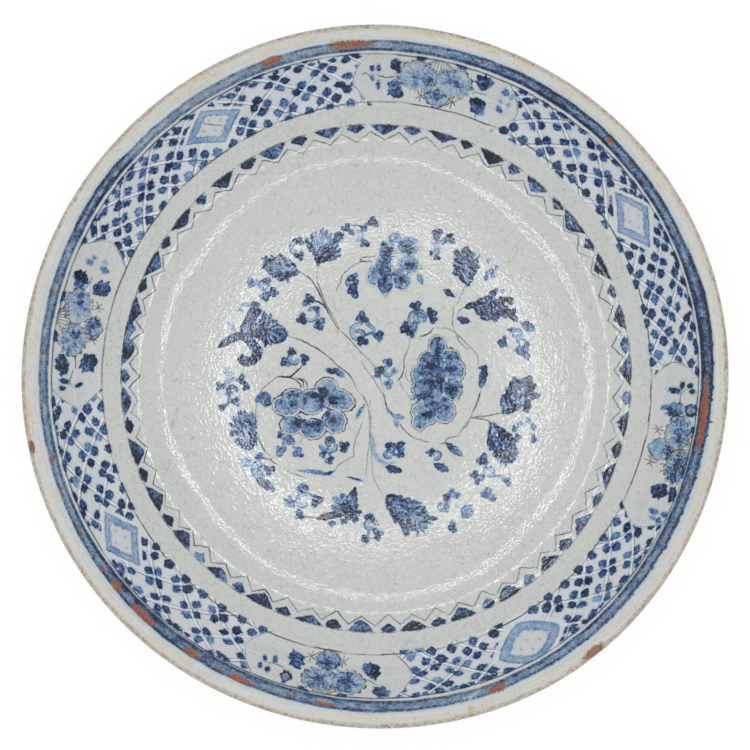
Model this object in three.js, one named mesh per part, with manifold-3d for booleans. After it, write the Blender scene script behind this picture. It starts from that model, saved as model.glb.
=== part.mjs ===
// A deep faience dish: a thrown red earthenware body with a turned foot ring, and the coats of tin
// glaze fired onto it. Millimetres, +Z up, with the origin on the table under the dish's axis.
// The dish is drawn as three outlines of its glaze: the face that is seen from above, the back outside
// the foot ring, and the recess inside it. The clay is what those outlines leave.
import * as THREE from "three";
import { mergeVertices } from "three/addons/utils/BufferGeometryUtils.js";
import Module from "manifold-3d";

const wasm = await Module();
wasm.setup();

// Driving dimensions of the whole dish
const DISH_RADIUS = 175; // axis to the outermost edge of the lip
const WELL_DEPTH = 34.5; // crest of the painted ridge down to the floor
const FLOOR_THICKNESS = 6.2; // clay under the floor
const WALL_THICKNESS = 6.4; // clay in the rising wall

// The coats of glaze, and the fine seam that parts them from the clay and from each other
const GLAZE_THICKNESS = 0.6;
const GLAZE_SEAM = 0.3;

// The rim, from its outermost edge inwards
const LIP_WIDTH = 10.2; // outermost edge to the crest of the ridge
const LIP_DROP = 6.4; // crest down to the level of the outermost edge
const LIP_ROLL = 4.6; // height of the rolled edge below that level
const LIP_LAND = 0.6; // the edge stands upright for this much above and below the glaze's seam
const LIP_UNDERCUT = 7; // how far the roll stands out past the wall under it
const SADDLE_RUN = 3.4; // crest out to the shallow dip behind the ridge
const SADDLE_DROP = 1.5;
const RIDGE_RUN = 2.8; // crest in to the shoulder at the ridge's foot
const RIDGE_RISE = 2.4;
const SHOULDER_RUN = 1.7; // the narrow sloping band between the shoulder and the wall
const SHOULDER_RISE = 1.5;

// The wall, seen from above, and the floor
const WALL_RUN = 30.5;
const WALL_FOOT_SLOPE = 16; // degrees, where the wall leaves the floor
const WALL_TOP_SLOPE = 57; // degrees, under the rim
const WALL_FAIRING = 0.36; // how far each end of the wall keeps its slope, as a share of its chord
const FLOOR_DISHING = 1.1; // the floor rises by this much to the foot of the wall

// The foot ring
const FOOT_RADIUS = 101; // to the outside of the face that rests on the table
const FOOT_WIDTH = 7.5;
const FOOT_HEIGHT = 6.6; // table to the clay ceiling of the recess
const FOOT_DRAFT = 1.6; // each flank leans out by this much from the table to the dish
const FOOT_BARE = 1.4; // height of the edge that was wiped clean of glaze
const BACK_RISE = 1.5; // the back climbs by this much from the ring to the foot of its wall
const RECESS_FILLET = 2.2;

// Thrown work is never quite round: lobes of the rim, with how many, how far out, and their bearing
const LOBES = [
  { count: 2, swell: 0.34, bearing: -13 },
  { count: 3, swell: 0.46, bearing: -48 },
  { count: 4, swell: 0.33, bearing: 24 },
  { count: 5, swell: 0.22, bearing: 21 },
];

// Flakes lost from the glaze: bearing in degrees from +X towards +Y, then length round the rim and
// width across it
const RIDGE_CHIPS = [
  [45, 5, 3],
  [92.5, 21, 4],
  [108, 8, 3.4],
  [206, 6, 2.6],
  [219, 9, 3.2],
  [226, 17, 3.6],
  [236, 7, 3.4],
  [247, 13, 3],
  [262, 9, 2.8],
  [291, 9, 4],
  [342, 6, 2.6],
  [352.5, 34, 3.6],
];
const EDGE_CHIPS = [
  [191.8, 7, 4],
  [308.2, 12, 5],
];
const CHIP_DEPTH = 1.3; // below the glaze, in the middle of a flake
const CHIP_REACH = 12; // a longer chip is several flakes in a row
const CHIP_LAP = 1.25; // each flake's length over its share of the chip
const EDGE_CHIP_INSET = 1.3; // from the outermost edge
const EDGE_CHIP_LEAN = 45; // degrees, as the rolled edge leans there

// How finely the curves are drawn
const SIDES = 60; // facets round the axis
const FLOOR_STEPS = 3;
const WALL_STEPS = 7;
const BEND_STEPS = 3;
const SHARPEST_MITRE = 0.5; // cosine that limits how far a mitred corner runs out
const WELD = 1e-4; // points closer than this are one point

const { degToRad, radToDeg } = THREE.MathUtils;
const point = (radius, level) => new THREE.Vector2(radius, level);

// Levels and radii that follow from the dimensions above
const coat = GLAZE_THICKNESS + GLAZE_SEAM;
const floorLevel = FOOT_HEIGHT + FLOOR_THICKNESS + coat;
const crestLevel = floorLevel + WELL_DEPTH;
const edgeLevel = crestLevel - LIP_DROP;
const crestRadius = DISH_RADIUS - LIP_WIDTH;
const shoulder = point(crestRadius - RIDGE_RUN, crestLevel - RIDGE_RISE);
const wallTop = point(shoulder.x - SHOULDER_RUN, shoulder.y - SHOULDER_RISE);
const wallFoot = point(wallTop.x - WALL_RUN, floorLevel + FLOOR_DISHING);
const saddle = point(crestRadius + SADDLE_RUN, crestLevel - SADDLE_DROP);
const bareDraft = FOOT_DRAFT * (FOOT_BARE / FOOT_HEIGHT); // how far a flank has leant at the bare edge

// The point at a distance from another, along a slope in degrees.
function along(from, slope, distance) {
  const angle = degToRad(slope);
  return point(from.x + distance * Math.cos(angle), from.y + distance * Math.sin(angle));
}

// An outline moved to its right-hand side, with mitred corners. A point on the axis stays on it.
function offset(outline, distance) {
  return outline.map((here, i) => {
    const arriving = here.clone().sub(outline[Math.max(i - 1, 0)]);
    const leaving = outline[Math.min(i + 1, outline.length - 1)].clone().sub(here);
    if (i === 0) {
      arriving.copy(leaving);
    } else if (i === outline.length - 1) {
      leaving.copy(arriving);
    }
    const heading = arriving.normalize().add(leaving.normalize()).normalize();
    const step = distance / Math.max(heading.dot(leaving), SHARPEST_MITRE);
    const radius = here.x === 0 ? 0 : here.x + heading.y * step;
    return point(radius, here.y - heading.x * step);
  });
}

// The wall rises from the floor's edge to the rim as one cubic with a set slope at each end.
function wallOutline() {
  const reach = WALL_FAIRING * wallFoot.distanceTo(wallTop);
  const curve = new THREE.CubicBezierCurve(
    wallFoot,
    along(wallFoot, WALL_FOOT_SLOPE, reach),
    along(wallTop, WALL_TOP_SLOPE, -reach),
    wallTop,
  );
  return curve.getPoints(WALL_STEPS);
}

// The face runs from the axis over the floor, the wall, the ridge and the lip to the outermost edge.
function faceOutline() {
  const floorMiddle = point(wallFoot.x / 2, floorLevel);
  const floor = new THREE.QuadraticBezierCurve(point(0, floorLevel), floorMiddle, wallFoot);
  const rim = new THREE.Path().moveTo(wallTop.x, wallTop.y);
  rim.lineTo(shoulder.x, shoulder.y);
  rim.quadraticCurveTo(crestRadius - RIDGE_RUN / 2, crestLevel, crestRadius, crestLevel);
  rim.quadraticCurveTo(crestRadius + SADDLE_RUN / 2, crestLevel, saddle.x, saddle.y);
  rim.bezierCurveTo(
    saddle.x + SADDLE_RUN / 2,
    saddle.y - SADDLE_DROP / 3,
    DISH_RADIUS,
    saddle.y - SADDLE_DROP,
    DISH_RADIUS,
    edgeLevel + LIP_LAND,
  );
  rim.lineTo(DISH_RADIUS, edgeLevel);
  return [
    ...floor.getPoints(FLOOR_STEPS),
    ...wallOutline().slice(1),
    ...rim.getPoints(BEND_STEPS).slice(1),
  ];
}

// The back runs from the outermost edge under the rolled lip and down the wall to the foot ring's
// bare edge. Its wall follows the face's wall, a clay thickness and a coat on each side away.
function backOutline() {
  const top = edgeLevel - GLAZE_SEAM;
  const bottom = top - LIP_ROLL;
  const wall = offset(wallOutline(), WALL_THICKNESS + 2 * coat).slice(0, -1);
  const wallEnd = wall.at(-1);
  const roll = new THREE.Path().moveTo(DISH_RADIUS, top);
  roll.lineTo(DISH_RADIUS, top - LIP_LAND);
  roll.quadraticCurveTo(DISH_RADIUS, bottom, DISH_RADIUS - LIP_UNDERCUT / 2, bottom);
  roll.quadraticCurveTo(DISH_RADIUS - LIP_UNDERCUT, bottom, wallEnd.x, wallEnd.y);
  const ring = FOOT_RADIUS + coat;
  return [
    ...roll.getPoints(BEND_STEPS),
    ...wall.slice(0, -1).reverse(),
    point(ring + FOOT_DRAFT, wall[0].y - BACK_RISE),
    point(ring + bareDraft, FOOT_BARE),
  ];
}

// The recess runs from the axis along its ceiling and down the ring's inner flank to its bare edge.
function recessOutline() {
  const ceiling = FOOT_HEIGHT - coat;
  const ring = FOOT_RADIUS - FOOT_WIDTH - coat;
  const corner = ring - FOOT_DRAFT;
  const path = new THREE.Path().moveTo(0, ceiling);
  path.lineTo(corner - RECESS_FILLET, ceiling);
  path.quadraticCurveTo(corner, ceiling, corner, ceiling - RECESS_FILLET);
  path.lineTo(ring - bareDraft, FOOT_BARE);
  return path.getPoints(BEND_STEPS);
}

// How far out of round the dish is at a bearing, as a factor on the radius. It fades to the axis.
function lobed(radius, bearing) {
  const swell = LOBES.reduce(
    (sum, lobe) => sum + lobe.swell * Math.cos(lobe.count * (bearing - degToRad(lobe.bearing))),
    0,
  );
  return 1 + (swell / DISH_RADIUS) * (radius / DISH_RADIUS);
}

// A section turned round the upright axis, with the lobes worked in. The section is a closed loop
// that runs anticlockwise, seen with the axis at its left.
function turned(section) {
  const lathe = new THREE.LatheGeometry(section, SIDES).rotateX(Math.PI / 2);
  lathe.deleteAttribute("normal");
  lathe.deleteAttribute("uv");
  const geometry = mergeVertices(lathe, WELD);
  const corners = geometry.getAttribute("position");
  for (let i = 0; i < corners.count; i++) {
    const x = corners.getX(i);
    const y = corners.getY(i);
    const factor = lobed(Math.hypot(x, y), Math.atan2(y, x));
    corners.setXY(i, x * factor, y * factor);
  }
  return geometry;
}

function toSolid(geometry) {
  const mesh = new wasm.Mesh({
    numProp: 3,
    vertProperties: new Float32Array(geometry.getAttribute("position").array),
    triVerts: new Uint32Array(geometry.index.array),
  });
  return new wasm.Manifold(mesh);
}

function toGeometry(solid) {
  const mesh = solid.getMesh();
  const geometry = new THREE.BufferGeometry();
  geometry.setAttribute("position", new THREE.BufferAttribute(mesh.vertProperties, 3));
  geometry.setIndex(new THREE.BufferAttribute(mesh.triVerts, 1));
  return geometry;
}

// A flake is a flattened pebble of air laid in the glaze, long round the rim and narrow across it.
function flake(bearing, length, width, centre, lean) {
  const pebble = new THREE.IcosahedronGeometry(1, 1);
  pebble.deleteAttribute("normal");
  pebble.deleteAttribute("uv");
  const geometry = mergeVertices(pebble, WELD);
  geometry.scale(width / 2, length / 2, CHIP_DEPTH);
  geometry.rotateY(degToRad(lean));
  geometry.translate(centre.x, 0, centre.y);
  geometry.rotateZ(degToRad(bearing));
  return toSolid(geometry);
}

// The flakes of each chip in a list, side by side round the rim.
function flakes(chips, centre, lean) {
  return chips.flatMap(([bearing, length, width]) => {
    const count = Math.ceil(length / CHIP_REACH);
    const share = length / count;
    const turn = radToDeg(share / centre.x);
    return Array.from({ length: count }, (_, i) =>
      flake(bearing + turn * (i - (count - 1) / 2), share * CHIP_LAP, width, centre, lean),
    );
  });
}

const face = faceOutline();
const back = backOutline();
const recess = recessOutline();

const dish = new THREE.Group();

function add(name, geometry, color, roughness) {
  const look = new THREE.MeshStandardMaterial({ color, roughness, metalness: 0 });
  const mesh = new THREE.Mesh(geometry, look);
  mesh.name = name;
  dish.add(mesh);
}

// The clay lies a coat under every outline, and stands bare on the foot ring's resting face.
const claySection = [
  ...offset(recess, -coat),
  point(FOOT_RADIUS - FOOT_WIDTH, 0),
  point(FOOT_RADIUS, 0),
  ...offset(back, coat).reverse(),
  ...offset(face, coat).reverse(),
];
add("earthenware_body", turned(claySection), 0xa45a3c, 0.9);

// One coat covers the whole face to the outermost edge, and has flaked along the ridge.
const faceSection = [...offset(face, GLAZE_THICKNESS), ...face.toReversed()];
const edgeChip = point(DISH_RADIUS - EDGE_CHIP_INSET, edgeLevel + EDGE_CHIP_INSET);
const lost = [
  ...flakes(RIDGE_CHIPS, point(crestRadius, crestLevel), 0),
  ...flakes(EDGE_CHIPS, edgeChip, EDGE_CHIP_LEAN),
];
const faceCoat = lost.reduce((left, chip) => left.subtract(chip), toSolid(turned(faceSection)));
add("face_glaze", toGeometry(faceCoat), 0xc9ccc8, 0.22);

// Two more coats cover the back, outside the foot ring and in its recess.
const backSection = [...offset(back, GLAZE_THICKNESS), ...back.toReversed()];
add("back_glaze", turned([...backSection, backSection[0].clone()]), 0xc6c5ba, 0.3);
add("recess_glaze", turned([...recess, ...offset(recess, -GLAZE_THICKNESS).reverse()]), 0xc6c5ba, 0.3);

export default dish;
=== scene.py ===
"""A deep faience dish seen from above: painted tin glaze over earthenware, laid on a white floor.

Every surface is worked out with numpy from the sizes below. The blue painting is drawn dab by dab and line by
line on the points of the glaze, in millimetres, and kept as colour attributes that the glaze material reads.
"""

import math

import bpy
import numpy as np
from mathutils import Matrix, Vector


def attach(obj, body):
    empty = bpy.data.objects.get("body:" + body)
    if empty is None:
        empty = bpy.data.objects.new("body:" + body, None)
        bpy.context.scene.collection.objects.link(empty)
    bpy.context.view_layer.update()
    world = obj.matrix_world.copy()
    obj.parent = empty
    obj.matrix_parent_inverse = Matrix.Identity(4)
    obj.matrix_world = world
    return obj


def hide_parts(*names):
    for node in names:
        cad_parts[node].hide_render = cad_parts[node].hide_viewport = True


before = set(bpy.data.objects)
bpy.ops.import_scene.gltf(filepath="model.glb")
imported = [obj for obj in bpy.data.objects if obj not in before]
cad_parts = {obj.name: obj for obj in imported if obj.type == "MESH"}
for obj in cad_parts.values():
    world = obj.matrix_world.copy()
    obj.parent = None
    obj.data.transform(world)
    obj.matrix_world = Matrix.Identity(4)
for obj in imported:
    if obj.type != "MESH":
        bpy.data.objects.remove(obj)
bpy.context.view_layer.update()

bl_info = {
    "name": "Faience dish",
    "version": (1, 0, 0),
    "blender": (4, 5, 0),
    "location": "View3D > Sidebar > Dish",
    "description": "Builds a painted faience dish and the stage that it is shown on",
    "category": "Object",
}

# Places on the dish, in millimetres of plan radius and degrees of bearing, anticlockwise from the right.
MM = 0.001
MID = 149.3  # plan radius of the middle of the trellis border
ARC = math.radians(1) * MID  # length of one degree there
LAYERS = ("cobalt", "ink", "pale", "tan", "clay", "brown")
# Where one piece of the face ends and the next begins, and the first seam between the quarters.
WELL, FLOOR, FOOT, WALL, RIDGE, EDGE = 90, 118, 130, 137, 161.5, 175
FIRST_SEAM = 10
# The border also paints a pale line along this ridge, as a painted highlight.
THROWING_LINE = 150.4  # one ridge that the potter's finger left in the wall
# Lobes that put the dish out of round: how many, how far out and the bearing of the first.
LOBES = ((2, 0.34, -13), (3, 0.46, -48), (4, 0.33, 24), (5, 0.22, 21))
# Bearings, and the radius that the shallow wave in the floor has there.
WAVE = ((0, 24, 45, 85, 120, 144, 156, 170, 190, 216, 240, 276, 300, 315, 340, 360),
        (108, 108, 107, 111.5, 111.5, 108.5, 110.5, 109, 109, 106.5, 109.5, 111, 109.5, 106.5, 107, 108))
# Bearings, and how far out of round the floor's rising edge is there.
KNEE = ((0, 15, 30, 75, 108, 135, 172, 204, 252, 300, 336, 360),
        (-2.5, -2.4, -0.9, 0.3, 1, 1.9, -0.2, 0.4, -0.7, -1.5, -3, -2.5))
# The blue band on the ridge: a bearing, its inner and outer radius there and how strong its colour is.
BAND = (
    (0, 161.3, 167.2, 1), (14, 161.2, 167.8, 1), (24, 161.2, 166.2, 0.7), (60, 161.8, 167, 0.95),
    (78, 161.4, 166.6, 0.55), (120, 161.1, 165.7, 0.4), (137, 161.4, 165.8, 0.4), (141, 161.5, 166.7, 0.8),
    (150, 161.6, 166.5, 0.8), (157, 161.7, 166.2, 0.5), (200, 161.6, 165.7, 0.5), (226, 160.7, 166.4, 0.9),
    (252, 160.6, 166.2, 0.55), (268, 161.1, 166.7, 0.65), (288, 162, 166.7, 0.45), (300, 161.5, 166, 0.6),
    (340, 160.6, 165.9, 0.7), (360, 161.3, 167.2, 1),
)
# Stains on the lip: bearing, inner and outer radius and how many degrees wide.
STAINS = (
    (74, 169.6, 175, 10), (120, 168, 175, 8), (96.5, 161, 168, 1.8), (286, 166, 174, 0.6),
    (65, 171, 175, 4), (188, 171, 175, 4),
)
# Chips in the ridge and in the lip: bearing, radius, length and width.
CHIPS = (
    (93.5, 164.6, 22, 4.3), (108.2, 164.6, 10, 3.3), (45, 164.4, 4.5, 2.8), (25, 164.2, 2, 1.2),
    (40, 164.5, 1.8, 1.2), (71, 164.4, 2.2, 1), (141, 164, 3, 1), (165.6, 164.5, 3, 1.6),
    (176, 164.4, 2.4, 1.4), (194.6, 164.6, 3.4, 1.8), (201, 164.5, 2.6, 1.4), (208.3, 164.4, 3.2, 2),
    (215.3, 164.6, 3, 2.2), (219.2, 164.6, 8, 3), (225.6, 164.6, 16, 3.4), (236.3, 164.6, 7.4, 3.6),
    (242, 164.4, 3, 1.8), (246.4, 164.7, 13, 3), (255, 164.2, 2.5, 1), (261.4, 164.6, 10, 2.8),
    (291.3, 164.8, 10, 4.4), (341.5, 163.9, 4, 1.6), (352.6, 163.6, 35, 3), (191.8, 173, 7, 3),
    (308.2, 173.2, 12, 5),
)


def smooth(x):
    """A step from 0 to 1 that starts and ends flat."""
    x = np.clip(x, 0, 1)
    return x * x * (3 - 2 * x)


def bell(x, width):
    """A bell round 0, with 1 at its top."""
    return np.exp(-((x / width) ** 2))


def apart(bearing, at):
    """How far a bearing lies from another, from -180 to 180 degrees."""
    return (bearing - at + 180) % 360 - 180


def noise(x, y, seed, wrap=256):
    """Smooth noise from -1 to 1: random values on a unit grid, blended between corners; x repeats at wrap."""
    table = np.random.default_rng(seed).uniform(-1, 1, (256, 256)).astype(np.float32)
    column, row = np.floor(x).astype(np.int64), np.floor(y).astype(np.int64)
    across, up = smooth(x - column), smooth(y - row)
    c0, c1, r0, r1 = column % wrap, (column + 1) % wrap, row % 256, (row + 1) % 256
    low = table[c0, r0] * (1 - across) + table[c1, r0] * across
    high = table[c0, r1] * (1 - across) + table[c1, r1] * across
    return low * (1 - up) + high * up


def curve(points, steps=16):
    """Points along a smooth curve from the first point to the last, pulled towards those between."""
    t = np.linspace(0, 1, steps + 1)[:, None, None]
    row = np.repeat(np.asarray(points, float)[None], steps + 1, axis=0)
    while row.shape[1] > 1:
        row = row[:, :-1] * (1 - t) + row[:, 1:] * t
    return row[:, 0]


def through(points, steps=6):
    """A smooth line through the given points: cubic spans, each cut in steps."""
    p = np.asarray(points, float)
    if len(p) < 3:
        return p
    p = np.vstack([2 * p[0] - p[1], p, 2 * p[-1] - p[-2]])
    t = np.linspace(0, 1, steps, endpoint=False)[None, :, None]
    a, b, c, d = (p[k : len(p) - 3 + k, None] for k in range(4))
    spans = 0.5 * (2 * b + (c - a) * t + (2 * a - 5 * b + 4 * c - d) * t**2 + (3 * b - a - 3 * c + d) * t**3)
    return np.vstack([spans.reshape(-1, 2), p[-2]])


STEP = 0.1  # of a section's line, in millimetres
NUDGE = 0.15  # to either side of a point, to see how the section slants there
# The floor's slope at shares of the way from its centre to the wall's foot.
FLOOR_SLOPE = ((0, 0.87, 0.911, 0.937, 1), (0, 0.001, 0.008, 0.047, 0.055))
WALL_SLANTS = (16, 57)  # degrees, at the wall's foot and at its top
WALL_THICKNESS = 8.2  # with both coats


class Section:
    """Half of a section through the dish: radius and height, both against the distance along the line.

    The line is cut in fine steps, and a bell-shaped mean rounds its corners and leaves its ends in place.
    """

    def __init__(self, points, softness=0.45):
        points = np.asarray(points, float)
        along = np.concatenate([[0], np.cumsum(np.hypot(*np.diff(points, axis=0).T))])
        self.s = np.linspace(0, along[-1], int(along[-1] / STEP) + 1)
        half = int(3 * softness / STEP)
        weights = np.exp(-0.5 * (np.arange(-half, half + 1) * STEP / softness) ** 2)
        self.r, self.z = (self.rounded(np.interp(self.s, along, p), half, weights) for p in points.T)

    @staticmethod
    def rounded(a, half, weights):
        """The mean along a line, with its ends mirrored so that they stay in place."""
        padded = np.concatenate([2 * a[0] - a[half:0:-1], a, 2 * a[-1] - a[-2 : -half - 2 : -1]])
        return np.convolve(padded, weights / weights.sum(), "valid")

    def at(self, s):
        """Radius and height at a distance along the line."""
        return np.interp(s, self.s, self.r), np.interp(s, self.s, self.z)

    def where(self, r):
        """The distance along the line at which it first reaches a radius."""
        return np.interp(r, np.maximum.accumulate(self.r), self.s)

    def inset(self, count, depth, low=0.0, high=None):
        """Points of the line, moved square to it into the clay by depth."""
        r, z = self.at(np.linspace(low, self.s[-1] if high is None else high, count))
        nr, nz = np.gradient(z), -np.gradient(r)
        size = np.hypot(nr, nz)
        return np.stack([np.maximum(r + nr / size * depth, 0), z + nz / size * depth], 1)


class Form:
    """The dish's surfaces in millimetres, from the sizes in the panel."""

    def __init__(self, sizes):
        scale = 1 / MM
        self.radius, self.glaze = sizes.radius * scale, sizes.glaze * scale
        crest_r, crest_z = sizes.crest_radius * scale, sizes.crest_height * scale
        foot_r, self.foot_z = sizes.wall_foot * scale, sizes.floor_height * scale
        edge_z, self.back_z = sizes.edge_height * scale, sizes.back_height * scale
        saddle = (crest_r + 3.4, crest_z - 1.5)
        top = (crest_r - 4.5, crest_z - 3.9)
        run = 0.36 * math.hypot(top[0] - foot_r, top[1] - self.foot_z)
        low, high = (math.radians(slant) for slant in WALL_SLANTS)
        floor_r = np.linspace(0, foot_r, 260)
        slope = np.interp(floor_r / foot_r, *FLOOR_SLOPE)
        rise = np.concatenate([[0], np.cumsum((slope[1:] + slope[:-1]) / 2 * np.diff(floor_r))])
        floor = np.stack([floor_r, self.foot_z + rise - rise[-1]], 1)
        wall = curve([(foot_r, self.foot_z),
                      (foot_r + run * math.cos(low), self.foot_z + run * math.sin(low)),
                      (top[0] - run * math.cos(high), top[1] - run * math.sin(high)), top], 60)
        # The face: floor, wall, the ridge inside the lip, the dip behind it and the lip.
        self.face = Section(np.vstack([
            floor, wall[1:], [(crest_r - 2.8, crest_z - 2.4)],
            curve([(crest_r - 2.8, crest_z - 2.4), (crest_r - 1.4, crest_z), (crest_r, crest_z)])[1:],
            curve([(crest_r, crest_z), (crest_r + 1.7, crest_z), saddle])[1:],
            curve([saddle, (saddle[0] + 1.7, saddle[1] - 0.5), (self.radius, saddle[1] - 1.5),
                   (self.radius, edge_z + 0.6)])[1:],
            [(self.radius, edge_z - 0.15)],
        ]))
        ring_r, ring_in = sizes.foot_radius * scale, (sizes.foot_radius - sizes.foot_width) * scale
        under = self.face.inset(14, WALL_THICKNESS, self.face.where(foot_r + 2), self.face.where(crest_r - 6))
        # The back: the underside of the lip, the wall and the outside of the foot ring.
        self.back = Section(np.vstack([
            [(self.radius, edge_z - 0.15), (self.radius, edge_z - 1)],
            curve([(self.radius, edge_z - 1), (self.radius, edge_z - 4.9),
                   (self.radius - 3.5, edge_z - 4.9)])[1:],
            curve([(self.radius - 3.5, edge_z - 4.9), (self.radius - 6.8, edge_z - 4.9), under[-1]])[1:-1],
            under[::-1], [(ring_r + 2.4, self.back_z), (ring_r + 1.2, 1.5)],
        ]), 0.7)
        # The recess: the inside of the foot ring and the underside of the floor.
        self.recess = Section(np.vstack([
            [(ring_in - 1.2, 1.5), (ring_in - 2.5, 3.5)],
            curve([(ring_in - 2.5, 3.5), (ring_in - 3, self.back_z), (ring_in - 5, self.back_z)])[1:],
            [(0, self.back_z + 0.3)],
        ]), 0.7)
        self.ring_r, self.ring_in = ring_r, ring_in

    def swell(self, bearing, r):
        """A radius with the dish's lobes in it: cosines of the bearing that grow with the radius."""
        turn = np.radians(bearing)
        lobed = sum(size * np.cos(count * (turn - math.radians(start))) for count, size, start in LOBES)
        return r * (1 + lobed / self.radius * (r / self.radius))

    def relief(self, bearing, r):
        """Height added on the face.

        It is the sum of a slow unevenness, the floor's wave, the shift of the floor's rising edge, the
        throwing line on the wall and the dips of the chips.
        """
        a, b = bearing / 360 * 256, r / 20
        height = 0.05 * noise(a / 16, b, 5, 16) * smooth((r - 20) / 60)
        height = height + 0.102 * smooth((r - np.interp(bearing, *WAVE) + 3.6) / 7.2)
        moved = np.interp(self.face.where(r - np.interp(bearing, *KNEE)), self.face.s, self.face.z)
        still = np.interp(self.face.where(r), self.face.s, self.face.z)
        height = height + (moved - still) * smooth((r - 108) / 6) * (1 - smooth((r - 123) / 6))
        height = height + 0.1 * bell(r - THROWING_LINE - 0.4 * noise(a / 8, b * 0, 6, 32), 0.8)
        for at, radius, length, width in CHIPS:
            near = np.abs(apart(bearing, at)) * math.radians(1) * radius
            inside = np.hypot(near / (length / 2), (r - radius) / (width / 2))
            height = height - 0.5 * smooth((1.12 + 0.2 * noise(a * 6, r / 1.2, 8) - inside) / 0.35)
        return height

    def face_at(self, bearing, s, drop):
        """Points of the face at a bearing and a distance along its section, lowered square to it by drop."""
        r, z = self.face.at(s)
        r1, z1 = self.face.at(s + NUDGE)
        r0, z0 = self.face.at(s - NUDGE)
        size = np.hypot(r1 - r0, z1 - z0) + 1e-9
        height = self.relief(bearing, r) - drop
        z = z + (r1 - r0) / size * height
        out = self.swell(bearing, r - (z1 - z0) / size * height)
        turn = np.radians(bearing)
        return np.stack([out * np.cos(turn), out * np.sin(turn), z], -1)

    def plan_at(self, x, y, drop):
        """Points of the floor over a place in plan."""
        r = np.hypot(x, y)
        return self.face_at(np.degrees(np.arctan2(y, x)) % 360, self.face.where(r), drop)


def unit(v):
    """Vectors brought to length 1."""
    return v / (np.linalg.norm(v, axis=-1, keepdims=True) + 1e-12)


# The canvas: colour laid on the points of the glaze. A cell of its noise is this many millimetres.
CELL = 1.83


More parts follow.
